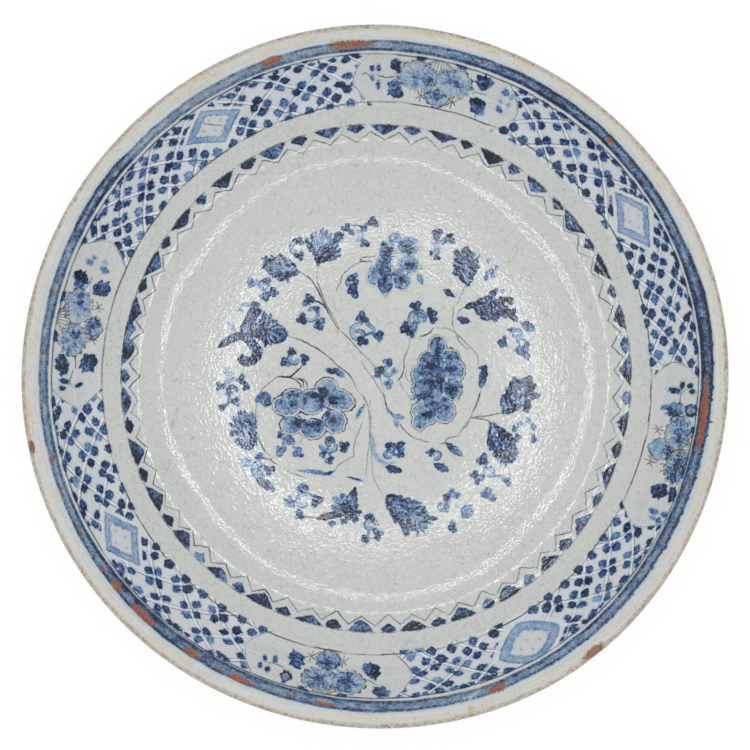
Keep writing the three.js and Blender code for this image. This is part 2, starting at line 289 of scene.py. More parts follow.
class Canvas:
    """Layers of colour over a set of points, whose x and y are in millimetres and may run round in a circle.

    The coordinates are shifted by a fine noise first, so that no edge is straighter than a hand leaves it.
    """

    def __init__(self, x, y, period=None):
        self.true_x, self.true_y = np.ravel(x).astype(np.float64), np.ravel(y).astype(np.float64)
        self.period = period
        cells = self.cells = self.true_x / period * 512 if period else self.true_x / CELL
        rows = self.true_y / CELL
        self.x = self.true_x + 0.22 * noise(cells, rows, 11) + 0.1 * noise(cells * 2, rows * 2.3, 12)
        self.y = self.true_y + 0.22 * noise(cells, rows, 13) + 0.1 * noise(cells * 2, rows * 2.3, 14)
        self.rough = noise(cells * 2, rows * 2, 15)
        self.grain = noise(cells, rows, 16) * 0.6 + noise(cells * 2, rows * 2, 17) * 0.4
        self.slow = noise(cells / 4, rows / 4, 18, 128)
        self.layers = {name: np.zeros(self.x.size) for name in LAYERS}

    def near(self, x, y, reach):
        """The points within reach of a place, and how far across and up each lies from it."""
        dx = self.x - x
        if self.period:
            dx = (dx + self.period / 2) % self.period - self.period / 2
        dy = self.y - y
        found = np.nonzero((np.abs(dx) < reach) & (np.abs(dy) < reach))[0]
        return found, dx[found], dy[found]

    def lift(self, layer, amount, found=slice(None)):
        """Brings a layer up to at least an amount."""
        self.layers[layer][found] = np.maximum(self.layers[layer][found], amount)

    def lay(self, found, depth, tone, layer="cobalt", edge=0.45, halo=0.0):
        """Colour where the depth inside a shape's edge is over zero, with a soft edge, a grain and a halo."""
        amount = tone * smooth(depth / edge + 0.5) * (1 + 0.2 * self.grain[found])
        if layer == "cobalt":
            rim = 0.4 * smooth((depth.max() - 1.2) / 2.5) * bell(depth - 0.35, 0.4)
            amount = amount * (0.86 + rim + 0.18 * self.slow[found])
        if halo:
            amount = np.maximum(amount, halo * tone * smooth(1 + depth / 1.1))
        self.lift(layer, amount, found)

    def fade(self, part, found=slice(None), names=("cobalt", "ink")):
        """Takes part of some layers away."""
        for name in names:
            self.layers[name][found] *= 1 - part

    def wipe(self, found, depth, part, edge=0.4):
        """Takes part of the cobalt away inside a shape."""
        self.fade(part * smooth(depth / edge + 0.5), found, ("cobalt",))

    def oval(self, x, y, rx, ry, turn, ragged, power=2.0):
        """Depth inside an oval with a ragged edge, near it; a power under 2 makes it more of a diamond."""
        found, dx, dy = self.near(x, y, max(rx, ry) * 1.25 + 3)
        c, s = math.cos(math.radians(turn)), math.sin(math.radians(turn))
        a, b = np.abs((c * dx + s * dy) / rx), np.abs((c * dy - s * dx) / ry)
        reach = (a**power + b**power) ** (1 / power)
        return found, (1 - reach - ragged * self.rough[found]) * min(rx, ry)

    def dab(self, x, y, rx, ry, turn, tone, layer="cobalt", ragged=0.14, halo=0.16, edge=0.5, power=2.0):
        """One touch of the brush."""
        found, depth = self.oval(x, y, rx, ry, turn, ragged, power)
        if found.size:
            self.lay(found, depth, tone, layer, edge, halo)

    def pale_dab(self, x, y, rx, ry, turn, part):
        """A touch that takes part of the cobalt away."""
        found, depth = self.oval(x, y, rx, ry, turn, 0.3)
        if found.size:
            self.wipe(found, depth, part, edge=0.8)

    def stroke(self, points, width, tone, layer="ink", ends=(0.4, 0.3), edge=0.35, broken=0.0, halo=0.0):
        """A line drawn through points, thinner at its ends; broken wears it away in places."""
        line = through(points)
        share = np.linspace(0, 1, len(line))
        body = np.minimum(1, ends[0] + (1 - ends[0]) * share * 5)
        body = body * np.minimum(1, ends[1] + (1 - ends[1]) * (1 - share) * 5)
        half = width / 2 * body
        for k in range(0, len(line) - 1, 4):
            part, wide = line[k : k + 5], half[k : k + 5]
            centre = part.mean(0)
            found, dx, dy = self.near(*centre, np.abs(part - centre).max() + width + 2)
            if not found.size:
                continue
            depth = np.full(found.size, -9.0)
            for (x0, y0), (x1, y1), h0, h1 in zip(part[:-1] - centre, part[1:] - centre, wide[:-1], wide[1:]):
                ex, ey = x1 - x0, y1 - y0
                t = np.clip(((dx - x0) * ex + (dy - y0) * ey) / (ex * ex + ey * ey + 1e-9), 0, 1)
                depth = np.maximum(depth, h0 + (h1 - h0) * t - np.hypot(dx - x0 - t * ex, dy - y0 - t * ey))
            weight = tone * (1 - broken * smooth(self.slow[found] + 0.5 + 0.6 * self.rough[found]))
            self.lay(found, depth, weight, layer, edge, halo)

    def along(self, x0, y0, x1, y1, width):
        """Place along and across a span, for the points near it: along runs from 0 to 1."""
        length = math.hypot(x1 - x0, y1 - y0)
        found, dx, dy = self.near((x0 + x1) / 2, (y0 + y1) / 2, length / 2 + width / 2 + 2)
        ex, ey = (x1 - x0) / length, (y1 - y0) / length
        return found, (dx * ex + dy * ey) / length + 0.5, dy * ex - dx * ey, length

    def leaf(self, x0, y0, x1, y1, width, tone, teeth, full, vein, glint_specks=0.0):
        """A leaf from stalk to tip: its half width follows a sine, cut into lobes parted by dark lines."""
        found, t, w, length = self.along(x0, y0, x1, y1, width)
        if not found.size:
            return
        inside = np.clip(t, 0, 1)
        swell = np.sin(np.pi * inside ** (math.log(0.5) / math.log(full))) ** 0.7
        lobe = np.abs(np.sin(np.pi * (inside * teeth - 0.55 * np.abs(w) / (width / 2) + (w > 0) * 0.4)))
        half = width / 2 * swell * (0.66 + 0.34 * lobe**0.6) + 0.2 * self.rough[found]
        depth = np.minimum(half - np.abs(w), np.minimum(t, 1 - t) * length + 0.2)
        # The last argument paints pale specks into the leaf's colour: a painted highlight standing in for
        # glints of the glaze.
        tones = tone * (0.7 + 0.2 * inside + 0.36 * self.slow[found] - glint_specks * (self.rough[found] > 0.15))
        tones = tones + 0.26 * tone * (1 - smooth(lobe / 0.5)) * smooth(depth)
        self.lay(found, depth, tones, halo=0.08)
        rib = 0.32 - np.abs(w) + np.where((inside > 0.12) & (inside < 0.85), 0, -9)
        self.wipe(found, rib, vein, edge=0.5)
        draw = np.random.default_rng(abs(int(13 * x0 + 700 * y1)))
        turn = math.degrees(math.atan2(y1 - y0, x1 - x0))
        count = int(length * width / 13) if width > 4.5 else 0
        part = min(1, 0.15 + width / 15)
        for k in range(2 * count):
            side = (-1, 1)[k % 2]
            at, thin, lean, far, shade, big = draw.uniform(0, 1, 6)
            at = 0.06 + 0.88 * at
            edge = side * width / 2 * math.sin(math.pi * at ** (math.log(0.5) / math.log(full))) ** 0.7
            dark = 0.3 + 0.6 * far, part * (1.3 + 1.3 * big), part * (0.55 + 0.35 * thin), 0
            pale = 0.1 + 0.7 * far, part * (1.2 + thin), part * (0.35 + 0.3 * big), 1
            for off, rx, ry, change in (dark, pale):
                run = at * length + change
                x = x0 + (run * (x1 - x0) - edge * off * (y1 - y0)) / length
                y = y0 + (run * (y1 - y0) + edge * off * (x1 - x0)) / length
                lie = turn + side * (14 + 40 * lean)
                if change:
                    self.pale_dab(x, y, rx, ry, lie, 0.5 * shade)
                else:
                    self.dab(x, y, rx, ry, lie, tone * (0.8 + 0.55 * shade), ragged=0.3, halo=0, edge=0.9)

    def torn(self, x, y, rx, ry, turn, tone):
        """A torn leaf: an oval whose edge runs out into five uneven points, with a pale vein."""
        found, dx, dy = self.near(x, y, max(rx, ry) * 1.4 + 2)
        if not found.size:
            return
        c, s = math.cos(math.radians(turn)), math.sin(math.radians(turn))
        a, b = (c * dx + s * dy) / rx, (c * dy - s * dx) / ry
        way = np.arctan2(b, a)
        bent = way + 0.45 * np.sin(way + x) + 0.2 * np.sin(3 * way + y)
        spoke = np.abs((bent / np.pi * 2.5 + 0.3 * x) % 1 - 0.5) * 2
        depth = (0.84 + 0.26 * spoke**2 - np.hypot(a, b) - 0.14 * self.rough[found]) * min(rx, ry)
        shade = tone * (0.66 + 0.34 * self.slow[found] + 0.4 * smooth(depth / 1.6) + 0.25 * self.grain[found])
        self.lay(found, depth, shade, halo=0.1)
        self.wipe(found, 0.3 - np.abs(b + 0.12 * np.sin(4 * a)) * ry - 9 * (np.abs(a) > 0.6), 0.3, edge=0.5)

    def fan(self, x, y, turn, length, spread, tone, teeth, vein=0.4):
        """A leaf that opens from its stalk like a fan, its far edge in lobes, with a pale line in each."""
        mid = math.radians(turn)
        found, dx, dy = self.near(x + math.cos(mid) * length / 2, y + math.sin(mid) * length / 2,
                                  length * 0.75 + 2)
        if not found.size:
            return
        dx, dy = dx + math.cos(mid) * length / 2, dy + math.sin(mid) * length / 2
        r = np.hypot(dx, dy)
        a = (np.arctan2(dy, dx) - mid + np.pi) % (2 * np.pi) - np.pi
        q = a / math.radians(spread)
        lobe = np.abs(((q + 1) * teeth / 2) % 1 - 0.5) * 2
        far = length * (1 - 0.16 * q * q) * (1 - 0.26 * lobe**2)
        depth = np.minimum(far - r,
                           (math.radians(spread) * (1 + 0.16 * np.sin(r * 2.2)) - np.abs(a)) * r + 0.3)
        self.lay(found, depth, tone * (0.76 + 0.36 * self.slow[found]), halo=0.08)
        rib = np.where((lobe < 0.16) & (r > length * 0.3) & (r < far - 1.5), 1.0, -9)
        self.wipe(found, rib, vein, edge=0.5)
        draw = np.random.default_rng(abs(int(13 * x + 700 * y)))
        for k in range(3 * teeth):
            big, thin, lean, out, shade, slip = draw.uniform(0, 1, 6)
            part = 2 * (k + 0.5 + 0.5 * (slip - 0.5)) / (3 * teeth) - 1
            a = mid + part * math.radians(spread)
            reach = length * (0.5 + 0.44 * out) * (1 - 0.16 * part * part)
            self.dab(x + math.cos(a) * reach, y + math.sin(a) * reach, 1.6 + 1.2 * big, 0.45 + 0.35 * thin,
                     math.degrees(a) + 24 * (lean - 0.5), tone * (0.85 + 0.5 * shade), ragged=0.3, halo=0,
                     edge=0.9)
            reach = length * (0.3 + 0.5 * slip)
            self.pale_dab(x + math.cos(a) * reach, y + math.sin(a) * reach, 1.4, 0.4, math.degrees(a),
                          0.3 + 0.4 * shade)

    def flower(self, petals, gap, line, ink, scallop=0.0, dashed=0.5):
        """Petals side by side, each paler inside than at its rim, and a thin broken ink line a gap away.

        A petal is its place, its two radii, its turn and its tone.
        """
        union = np.full(self.x.size, -99.0)
        for x, y, rx, ry, turn, tone in petals:
            found, dx, dy = self.near(x, y, max(rx, ry) * 1.3 + 4)
            if not found.size:
                continue
            c, s = math.cos(math.radians(turn)), math.sin(math.radians(turn))
            a, b = (c * dx + s * dy) / rx, (c * dy - s * dx) / ry
            wave = scallop * np.abs(np.sin(np.arctan2(b, a) * 5.5))
            depth = (1 - np.hypot(a, b) - 0.05 * self.rough[found] + wave) * min(rx, ry)
            ray = noise((np.arctan2(b, a) / np.pi + 1) * 8, np.hypot(a, b) * 2.5 + x, 51, 16)
            shade = 0.8 + 0.3 * self.slow[found] + 0.2 * self.grain[found] + 0.4 * ray
            shade = tone * (shade + 0.5 * smooth(depth / 3) + 0.18 * bell(depth - 0.4, 0.3))
            self.wipe(found, 0.45 - np.abs(depth + 0.4), 0.3 + 0.3 * self.slow[found], edge=0.5)
            self.lay(found, depth, shade, halo=0.1, edge=0.5)
            union[found] = np.maximum(union[found], depth)
        found = np.nonzero(union > -gap - 1.5)[0]
        if found.size:
            depth = line / 2 + 0.05 - np.abs(union[found] + gap)
            weight = ink * (1 - dashed * smooth(self.slow[found] * 1.5 + self.rough[found] + 0.4))
            self.lay(found, depth, weight, "ink", 0.3)

    def spiral(self, x, y, radius, start, sweep, width, tone):
        """A curl: a pale ribbon turns round a place on a shrinking radius, between two thin lines."""
        t = np.linspace(0, 1, 9)
        angle = np.radians(start + sweep * t)
        for out, wide, dark in ((0, 1.35 * width, 0.9 * tone), (0.66 * width, 0.62, 0.4 + 1.2 * tone),
                                (-0.6 * width, 0.36, 0.3 + 0.9 * tone)):
            reach = radius * (1 - 0.65 * t) + out
            self.stroke(np.stack([x + reach * np.cos(angle), y + reach * np.sin(angle)], 1), wide, dark,
                        "cobalt", ends=(0.7, 0.6), halo=0.08)

    def lobed(self, x, y, size, turn, tone):
        """The clump that ends a sprig: three broad lobes, each paler in its middle, round a dark heart."""
        draw = np.random.default_rng(abs(int(31 * x + 1700 * y))).uniform(-1, 1, (4, 4))
        for k, (lean, big, shade, far) in enumerate(draw[:3]):
            a = math.radians(turn + (k - 1) * 102 + 24 * lean)
            wide, reach = size * (0.63 + 0.1 * big), size * (0.54 + 0.1 * far)
            px, py = x + math.cos(a) * reach, y + math.sin(a) * reach
            self.dab(px, py, wide, wide * 0.88, math.degrees(a) + 40 * far, tone * (1.02 + 0.26 * shade),
                     ragged=0.2, halo=0.08)
            self.pale_dab(px, py, wide * 0.46, wide * 0.36, math.degrees(a), 0.26 + 0.16 * far)
        a = math.radians(turn)
        self.dab(x - math.cos(a) * size * 0.1, y - math.sin(a) * size * 0.1, size * 0.5, size * 0.42, turn,
                 tone * 1.2, ragged=0.3, halo=0)


# The medallion in the well. Places are in millimetres from the floor's centre, x to the right and y up.
STEMS = (  # width, tone, line
    (0.5, 0.7, ((-39.5, 54.5), (-33, 50), (-29, 43.5), (-25.3, 35), (-22, 29.5), (-19.2, 24.8))),
    (0.42, 0.5, ((-29.6, 57), (-30, 50), (-28.5, 45.5), (-26, 39), (-24.6, 35.5), (-20.5, 29), (-18.6, 25))),
    (0.42, 0.45, ((-19, 25), (-16, 22), (-12.5, 18.5), (-9, 14.5), (-4, 9.5), (0, 4.5), (2, 0), (3.8, -7))),
    (0.5, 0.65, ((-45, 21.5), (-38, 19.2), (-30, 15), (-24, 10.8), (-20, 6.6), (-15, 3), (-12, -0.5),
                 (-10, -6))),
    (0.42, 0.5, ((-10, -6), (-6, -10.2), (-4.2, -14), (-3.4, -21), (-3.2, -30), (-4.5, -40), (-5, -50))),
    (0.38, 0.35, ((-3, -11), (-2.6, -20), (-2.9, -30), (-2, -42), (-1.4, -50), (0.8, -55), (4.2, -60))),
    (0.5, 0.7, ((3.8, -7), (4.8, -13), (5.5, -15.5))),
    (0.42, 0.5, ((-8, 9), (-4, 3), (-1, -1), (0.6, -4), (3.4, -8.5), (4.6, -13))),
    (0.45, 0.6, ((12, -23.5), (14, -26), (17, -29), (20, -30.4), (24, -31.7), (27, -32.2))),
    (0.6, 0.8, ((32, -33.2), (35, -32.4), (35.5, -30.7), (38, -30), (41, -29.3))),
    (0.45, 0.6, ((41, -29.3), (43, -26.5), (46, -22.5), (47.6, -20.2), (48.6, -17))),
    (0.35, 0.5, ((43.4, -26.2), (45.6, -24), (47.8, -20.4))),
    (0.7, 0.8, ((48.6, -17), (50.5, -13.6), (51.8, -10), (52.6, -6.6))),
    (0.42, 0.6, ((51.3, 6.5), (51.6, 9.5), (50, 13), (47.8, 15.4), (44, 19), (39.5, 23), (36, 25),
                 (29, 25.3))),
    (0.75, 0.8, ((29, 25.3), (27, 23), (24.5, 21.6), (22, 21.2))),
    (0.42, 0.6, ((47.6, 15.6), (46, 15), (43.5, 16.6), (41.6, 19), (41, 21.2), (39.5, 23.6))),
    (0.4, 0.55, ((-20.5, 44), (-18.5, 48), (-16.5, 53), (-13, 56), (-8.5, 58.8), (-7, 60.8), (-4, 61.4),
                 (0, 61.5))),
    (0.6, 0.6, ((-8.5, 58.6), (-5.5, 59.2), (-2, 58.8))),
    (0.4, 0.55, ((39.3, 24), (38.5, 28), (39, 33), (39.4, 38))),
    (0.4, 0.45, ((45.3, 46.8), (43.5, 43), (42, 39.5), (40.6, 36.5))),
    (0.4, 0.45, ((41.2, 30.3), (41.6, 33), (43.4, 35), (45.5, 36))),
    (0.45, 0.55, ((47.6, -20.2), (52, -19.4), (58, -18.8), (64, -17.6))),
    (0.45, 0.55, ((47.8, -20.4), (52, -20.4), (55.5, -21.2), (58.5, -23))),
    (0.55, 0.6, ((10.8, -1.2), (12.8, 1), (14, 5), (14.2, 9.5), (15.2, 13), (17, 16))),
    (0.32, 0.4, ((13, -1.5), (12.4, -3.4), (15, -7.4), (18, -11))),
    (0.3, 0.35, ((17, 16), (16.9, 19), (17.4, 21.5))),
    (0.7, 0.8, ((-37.3, 6.3), (-40, 3.5), (-43, 1), (-45, 0.6), (-48, 0.9), (-51, 0))),
    (0.4, 0.55, ((-51, 0), (-54.5, -3), (-57.3, -5.5), (-59.8, -12), (-61, -19), (-60.6, -26), (-58.8, -31),
                 (-57, -36),
                 (-53.5, -39.3))),
    (0.35, 0.4, ((-60.9, -20), (-59.8, -29), (-57.6, -33.5), (-55.4, -37.5))),
    (0.5, 0.65, ((-57.5, -40.4), (-54, -41), (-50, -43.6))),
    (0.4, 0.45, ((-45, -47), (-41, -48.5), (-36, -50.2))),
    (0.42, 0.6, ((-20.5, -46.5), (-19, -44), (-14, -41), (-11.2, -39), (-11.4, -36), (-10.4, -31),
                 (-8.6, -26),
                 (-6.8, -22.5))),
    (0.65, 0.8, ((-33, 39.5), (-29, 38.4), (-26.3, 36.4), (-24.8, 34))),
    (0.45, 0.7, ((-45, 0.6), (-41, -0.6), (-38.4, -3), (-38, -5.4))),
    (0.42, 0.65, ((-41, 0.5), (-37.2, -1.6), (-36.6, -5))),
    (0.42, 0.6, ((-39, 0.2), (-35.4, -2), (-34.6, -5.6))),
    (0.6, 0.7, ((-12.8, 77.2), (-9, 77.3), (-6.5, 76.6))),
    (0.5, 0.7, ((0.5, -81.5), (-2, -80.6), (-4.4, -81.6))),
    (0.6, 0.65, ((-41.5, -67), (-38, -69.6), (-33, -70.4), (-28, -70.6))),
)
CURLS = (  # place, radius, start, sweep, width, tone
    (-32.5, 33, 4.3, 210, 300, 1.1, 0.36), (-8.5, 22.5, 5, 90, 250, 1.3, 0.3),
    (-8, 21.5, 2.6, 150, -250, 1.3, 0.38), (22, 30, 6.2, 250, -290, 1.0, 0.5),
    (21.5, 30, 2.2, 20, 280, 1.8, 0.5), (-72.6, -6.5, 6.4, 60, 190, 1.2, 0.35),
    (-72.8, -6.5, 2.3, 0, 300, 1.3, 0.6), (-58, -47, 4.8, 100, 210, 1.8, 0.42),
    (-57, -46.5, 2.2, 200, -230, 1.3, 0.5), (-43.6, -32.6, 3, 210, -260, 1.2, 0.4),
    (-22.5, -33, 5.6, 190, 160, 1.4, 0.36), (-23.5, -32.5, 2, 0, 300, 1.4, 0.45),
    (-36.5, -62.5, 4.6, 20, 300, 1.3, 0.25), (-3, -74.5, 3, 0, 330, 1.6, 0.3),
    (6.3, -39, 2.6, 0, 320, 1.1, 0.5), (30.2, -38.6, 2.3, 250, 330, 1.0, 0.4),
    (57, -48, 3, 160, -300, 1.1, 0.32), (-41, 9.5, 3.3, 100, 260, 1.4, 0.42),
    (-56, 46.5, 3.3, 80, 210, 1.4, 0.42), (-40.5, 65.5, 3.6, 80, 200, 1.4, 0.34),
    (-9.5, 72.5, 2.6, 250, 260, 1.2, 0.22), (31.5, 67, 2.4, 20, 300, 1.1, 0.25),
    (33.5, -65.5, 2.6, 0, 300, 1.0, 0.3), (6.6, 3, 2.8, 120, 220, 1.3, 0.4),
    (-12.5, 47.5, 3.4, 60, 150, 1.4, 0.4), (46, -67.5, 2.6, 60, 330, 1.8, 0.45),
    (71, 22, 2.6, 0, 300, 0.9, 0.25),
)
CLUMPS = (  # place, size, turn, tone
    (-39.6, 69.3, 2.4, 60, 1.05), (-38.6, 62, 2.5, -60, 1), (-62.5, 48, 2.9, 120, 0.62),
    (-55.3, 48.6, 2.4, 40, 0.8), (-55.6, 42, 3, -90, 0.75), (-51.8, 43.6, 2.3, 0, 0.95),
    (-34.6, 39.5, 3.1, 110, 1.15), (-37.6, 30, 3, 200, 1.1), (-29, 27.6, 2.9, -60, 1.12),
    (-30.2, 34.6, 1.9, 60, 0.95), (-11.2, 50.5, 2.7, 60, 1), (-11.2, 43.8, 3.4, 190, 1.08),
    (-15.3, 76, 2.2, 80, 1.05), (-12.3, 73.7, 1.6, 190, 1), (-1.6, 78.6, 2.6, 60, 1.05),
    (-5.5, 76.6, 2, 180, 0.95), (-5.6, 68.3, 2.5, 220, 1), (-6.8, 30.2, 3.4, 80, 1),
    (1, 21.6, 2.6, -60, 1.05), (-6.8, 18.6, 2.5, 220, 1), (-42.2, 13, 2.2, 90, 0.9),
    (-45.6, 8, 2.4, 200, 0.85), (-36.4, 9.4, 2.6, 20, 0.9), (20, 36.4, 3, 60, 1.05),
    (27.6, 32, 3, 30, 1.05), (28.6, 29.7, 2, 0, 1.1), (15.2, 25.6, 3, 200, 1.08),
    (17.6, 22.8, 2.3, -70, 1.05), (30.3, 72.6, 3, 20, 1.12), (37.2, 71.8, 1.9, 150, 1.12),
    (38.8, 69.6, 1.5, -40, 1.05), (28.4, 63.6, 1.5, 120, 1), (30.8, 61.8, 1.8, -40, 1.02),
    (56.3, 59.4, 1.3, 30, 0.65), (60.6, 55.8, 1.4, 0, 0.6), (58, 52.9, 2.2, 200, 0.6),
    (55.3, 50.7, 1.3, 0, 0.9), (1.6, 3, 2.9, 160, 1), (6, 8, 2.5, 60, 0.8), (8.8, 3.4, 1.7, 0, 0.55),
    (6, -2.8, 2.3, -80, 0.65), (68, 24.4, 1.7, 60, 0.75), (72, 21.3, 1.3, 0, 0.6),
    (74.6, 12.6, 3.4, 60, 0.72), (71.3, 14, 1.6, 180, 0.8), (76, 17, 1.4, 90, 0.85),
    (-68, -1, 2.4, 60, 1.05), (-65.8, -4.2, 2, -30, 1), (-71, -11.6, 2.2, -60, 0.85),
    (-78.6, -4, 2.3, 120, 0.75), (-77.6, -14.8, 1.9, 180, 1), (-75, 3, 2.4, 70, 0.3),
    (-58.8, -39.4, 2, 80, 0.75), (-65.6, -42.6, 2.6, 150, 0.45), (-53.8, -46.4, 2.5, 20, 0.9),
    (-48, -28.8, 1.7, 120, 1), (-44, -31.4, 2.2, 0, 0.6), (-48, -36.5, 2.8, -110, 0.85),
    (-39.3, -38, 2.6, -40, 0.8), (-23.2, -31.2, 2, 60, 0.7), (-16.4, -34.4, 2.9, 20, 0.95),
    (-26.6, -38.2, 1.9, 190, 0.85), (-23.6, -41.2, 2.2, -70, 0.8), (-30.4, -62.6, 3, 0, 0.9),
    (-43.4, -62.8, 3, 190, 0.5), (-45.9, -61.4, 1, 0, 1.05), (-38.6, -69, 2.4, 200, 0.9),
    (-3, -70.6, 2.7, 90, 0.85), (-5.4, -81.4, 2.3, 200, 1), (0.6, -79, 2.7, 0, 0.8),
    (11.3, -35, 3, 60, 0.95), (7, -34.3, 2, 160, 1.05), (12.4, -38.6, 1.8, -40, 0.95),
    (27.2, -37.4, 2, 160, 0.95), (53.8, -41.6, 3.1, 70, 0.9), (49.6, -48.8, 2, 160, 1),
    (51, -51.8, 1.7, -60, 1), (65.8, -52.2, 2, 60, 0.75), (56, -58.8, 3.6, 60, 0.66),
    (35.8, -60, 2.2, 160, 1), (40.6, -59, 2, 20, 0.85), (38.4, -57.4, 1.7, 100, 0.75),
    (35, -65.6, 2, 180, 0.6), (38.6, -74.9, 2.6, 190, 1), (76.6, -21.4, 1.9, 90, 0.6),
    (79.2, -24.6, 1.8, 0, 0.95), (79.3, -30.6, 1.9, 0, 0.9), (72.8, -23, 1.7, 160, 0.45),
    (45.5, -67.6, 3, 150, 0.5), (63.8, 44, 1, 50, 0.85),
)
SMALL_LEAVES = (  # stalk, tip, width, tone, teeth
    (21, 53.2, 23.6, 47.4, 3.4, 0.95, 2), (33.8, 44.8, 39.8, 41, 3.4, 0.95, 2),
    (40.8, 30, 47.4, 28.4, 4, 1, 2), (61, 18.2, 66.6, 17, 4.6, 0.85, 2),
    (64.8, 22, 64.6, 16, 2.6, 0.85, 2), (-26.4, 4.2, -20, 3, 3.2, 1, 2), (-21.6, 5.2, -16, 0.4, 3.8, 1, 2),
    (-60.8, -12.4, -56, -7, 4, 0.95, 2), (-58.5, -12.4, -52.8, -13, 3.6, 1, 2),
    (-56.6, -6.8, -53.4, -12.6, 4, 0.95, 2), (52.6, -5.5, 55.4, 6.6, 4.4, 1.02, 3),
    (51.3, 5.2, 56.4, 5.4, 2, 1.1, 1), (72.4, 28.2, 80.6, 23.8, 4.8, 0.72, 2),
    (-60.5, -50.8, -51, -56.4, 5, 0.8, 3), (35, -32.8, 43.6, -39.4, 4.4, 0.92, 3),
    (29, -43.4, 36.6, -46.6, 4.4, 0.98, 3), (4.4, -44.9, 13.2, -47.2, 4.4, 0.98, 3),
    (5.2, -15.2, 10, -20.6, 1.8, 1, 1), (8, -19, 14.4, -20.2, 3.4, 0.7, 1),
    (9.4, -19.4, 10.8, -25.2, 3, 0.72, 1), (-5.6, -12.8, -10.4, -20.6, 2.4, 1.05, 2),
    (-40, -46.6, -22.5, -48.6, 2.6, 0.85, 1), (-27, -49.4, -20.6, -46.6, 1.4, 1.1, 1),
    (-15.5, -50, -6.6, -51.8, 1.4, 1.05, 1), (-37.2, -53, -37.2, -58, 6.4, 0.8, 2),
    (1.4, 24, 1.8, 18, 4.4, 1.1, 2),
)
TOP_FLOWER = (  # place, radii, turn, tone
    (-0.4, 52, 4, 5, -15, 0.36), (4.6, 48.6, 3.9, 5.8, 0, 0.52), (13, 49.8, 4.3, 5, 0, 0.5),
    (16.4, 57.4, 4.8, 4.4, 0, 0.5), (16.4, 67, 5.4, 4.6, 0, 0.42), (9.6, 70, 3.4, 3.8, 0, 0.4),
    (5.6, 63, 3.6, 4.6, 0, 0.62), (3.8, 56, 4.2, 4.4, 0, 0.55), (11, 53.6, 2.6, 2.6, 0, 0.4),
)
LEFT_FLOWER = (
    (-45, -14, 6.4, 4.6, -8, 0.4), (-42, -8.6, 4, 2.4, 0, 0.62), (-42.6, -23.4, 5, 4.4, 0, 0.42),
    (-32, -25.8, 5.6, 4.4, 0, 0.42), (-21, -21.8, 5.4, 5.2, -15, 0.42), (-20, -10.6, 8.2, 5, -18, 0.38),
    (-25, -5, 5, 4.4, 20, 0.3), (-33, -12, 6.4, 5.6, 0, 0.4),
)
RIGHT_FLOWER = (
    (31, 16.2, 3.7, 4.6, 0, 0.5), (27, 8.6, 5.2, 4.4, 20, 0.52), (37.4, 9, 4.4, 5, 0, 0.5),
    (39.4, 3.6, 4.8, 4.8, 0, 0.5), (24, 1.6, 5.4, 5, 0, 0.48), (30.6, 6, 3.6, 6, 0, 0.6),
    (38.4, -5.4, 4, 4.8, 0, 0.5), (25.4, -5.6, 6.2, 5.6, 0, 0.55), (24.6, -17.6, 6, 5.6, 0, 0.42),
    (34.4, -16.6, 4.8, 5.2, 0, 0.46), (29.6, -12, 5.6, 4, 0, 0.48), (22, -22, 3.2, 3.4, 0, 0.4),
    (31, -1.6, 4, 8, 0, 0.45),
)
HEARTS = (  # the darker touches inside the flowers: place, radii, turn, tone
    (4.6, 51, 1.8, 4.2, 0, 1), (13, 50.2, 2.2, 2.2, 0, 1), (17, 57, 3.2, 1.9, 0, 0.98),
    (16.2, 65.8, 2.2, 3, 20, 0.92), (5, 61.6, 2.6, 2.4, 0, 1), (6.8, 65, 2.6, 1.5, 0, 1.2),
    (3.6, 56.6, 3.2, 2, 20, 0.85), (9.6, 52.4, 1.3, 1.2, 0, 0.95), (12.6, 68, 1.6, 1.2, 0, 0.9),
    (4, 67.4, 1.2, 1.3, 0, 0.95), (-1.2, 54, 1.6, 2, 0, 0.7), (6, 55, 1, 3.4, 0, 0.9),
    (-42.2, -12.8, 1.9, 2.1, 0, 1.05), (-48, -12.8, 1, 1.8, 0, 0.75), (-43.4, -8.8, 2.6, 1.1, 0, 1),
    (-39.6, -8.4, 1.4, 1.3, 0, 1.05), (-39.8, -22.6, 3.4, 2.4, 10, 1), (-45.6, -20.8, 1.3, 1, 0, 0.85),
    (-30.6, -23.4, 5, 1.9, 5, 1), (-30, -25.8, 2, 1.8, 0, 0.95), (-22, -21.4, 2.8, 1.9, 0, 1),
    (-24.4, -17.8, 1.5, 2.2, 0, 0.9), (-21.6, -11.2, 3.6, 2.2, -30, 1), (-27, -6.8, 2.8, 2.2, -20, 0.98),
    (-26, -9.6, 2.2, 1.2, 20, 0.9), (-31, -8.8, 5, 1.5, -8, 1.15), (-27.6, -11, 1.4, 3.2, 0, 1.1),
    (-36, -12, 1.4, 3.4, 10, 1.1), (31, 14.6, 1.9, 4.2, 0, 0.9), (31, 9, 1.5, 4.4, 0, 1),
    (28, 5.4, 3.4, 2.6, 0, 0.98), (27, 10.6, 2, 1.2, 0, 0.85), (38, 4.4, 3.6, 1.8, 10, 1),
    (37, 10.4, 1.7, 2, 0, 0.92), (41.2, 10, 1, 1.6, 0, 0.8), (27, -2.4, 3.6, 2.2, -30, 1.05),
    (38.6, -5.8, 3.2, 2.6, 0, 1), (24, -9, 4.2, 1.9, 10, 0.98), (27.6, -7, 1.6, 3.4, 0, 1),
    (22.4, -2, 1.6, 1.2, 0, 0.85), (26.2, -18, 3.6, 2, 0, 0.98), (35, -14.6, 1.6, 3.4, 10, 0.9),
    (28, -12.6, 2.6, 1.2, 0, 0.9), (34.6, -11, 1.8, 1.4, 0, 0.85), (33, -0.8, 1.6, 1.5, 0, 1.35),
    (32.6, -4.4, 1, 2.4, 0, 1.35), (31.6, -2.6, 1, 1, 0, 1.2),
)
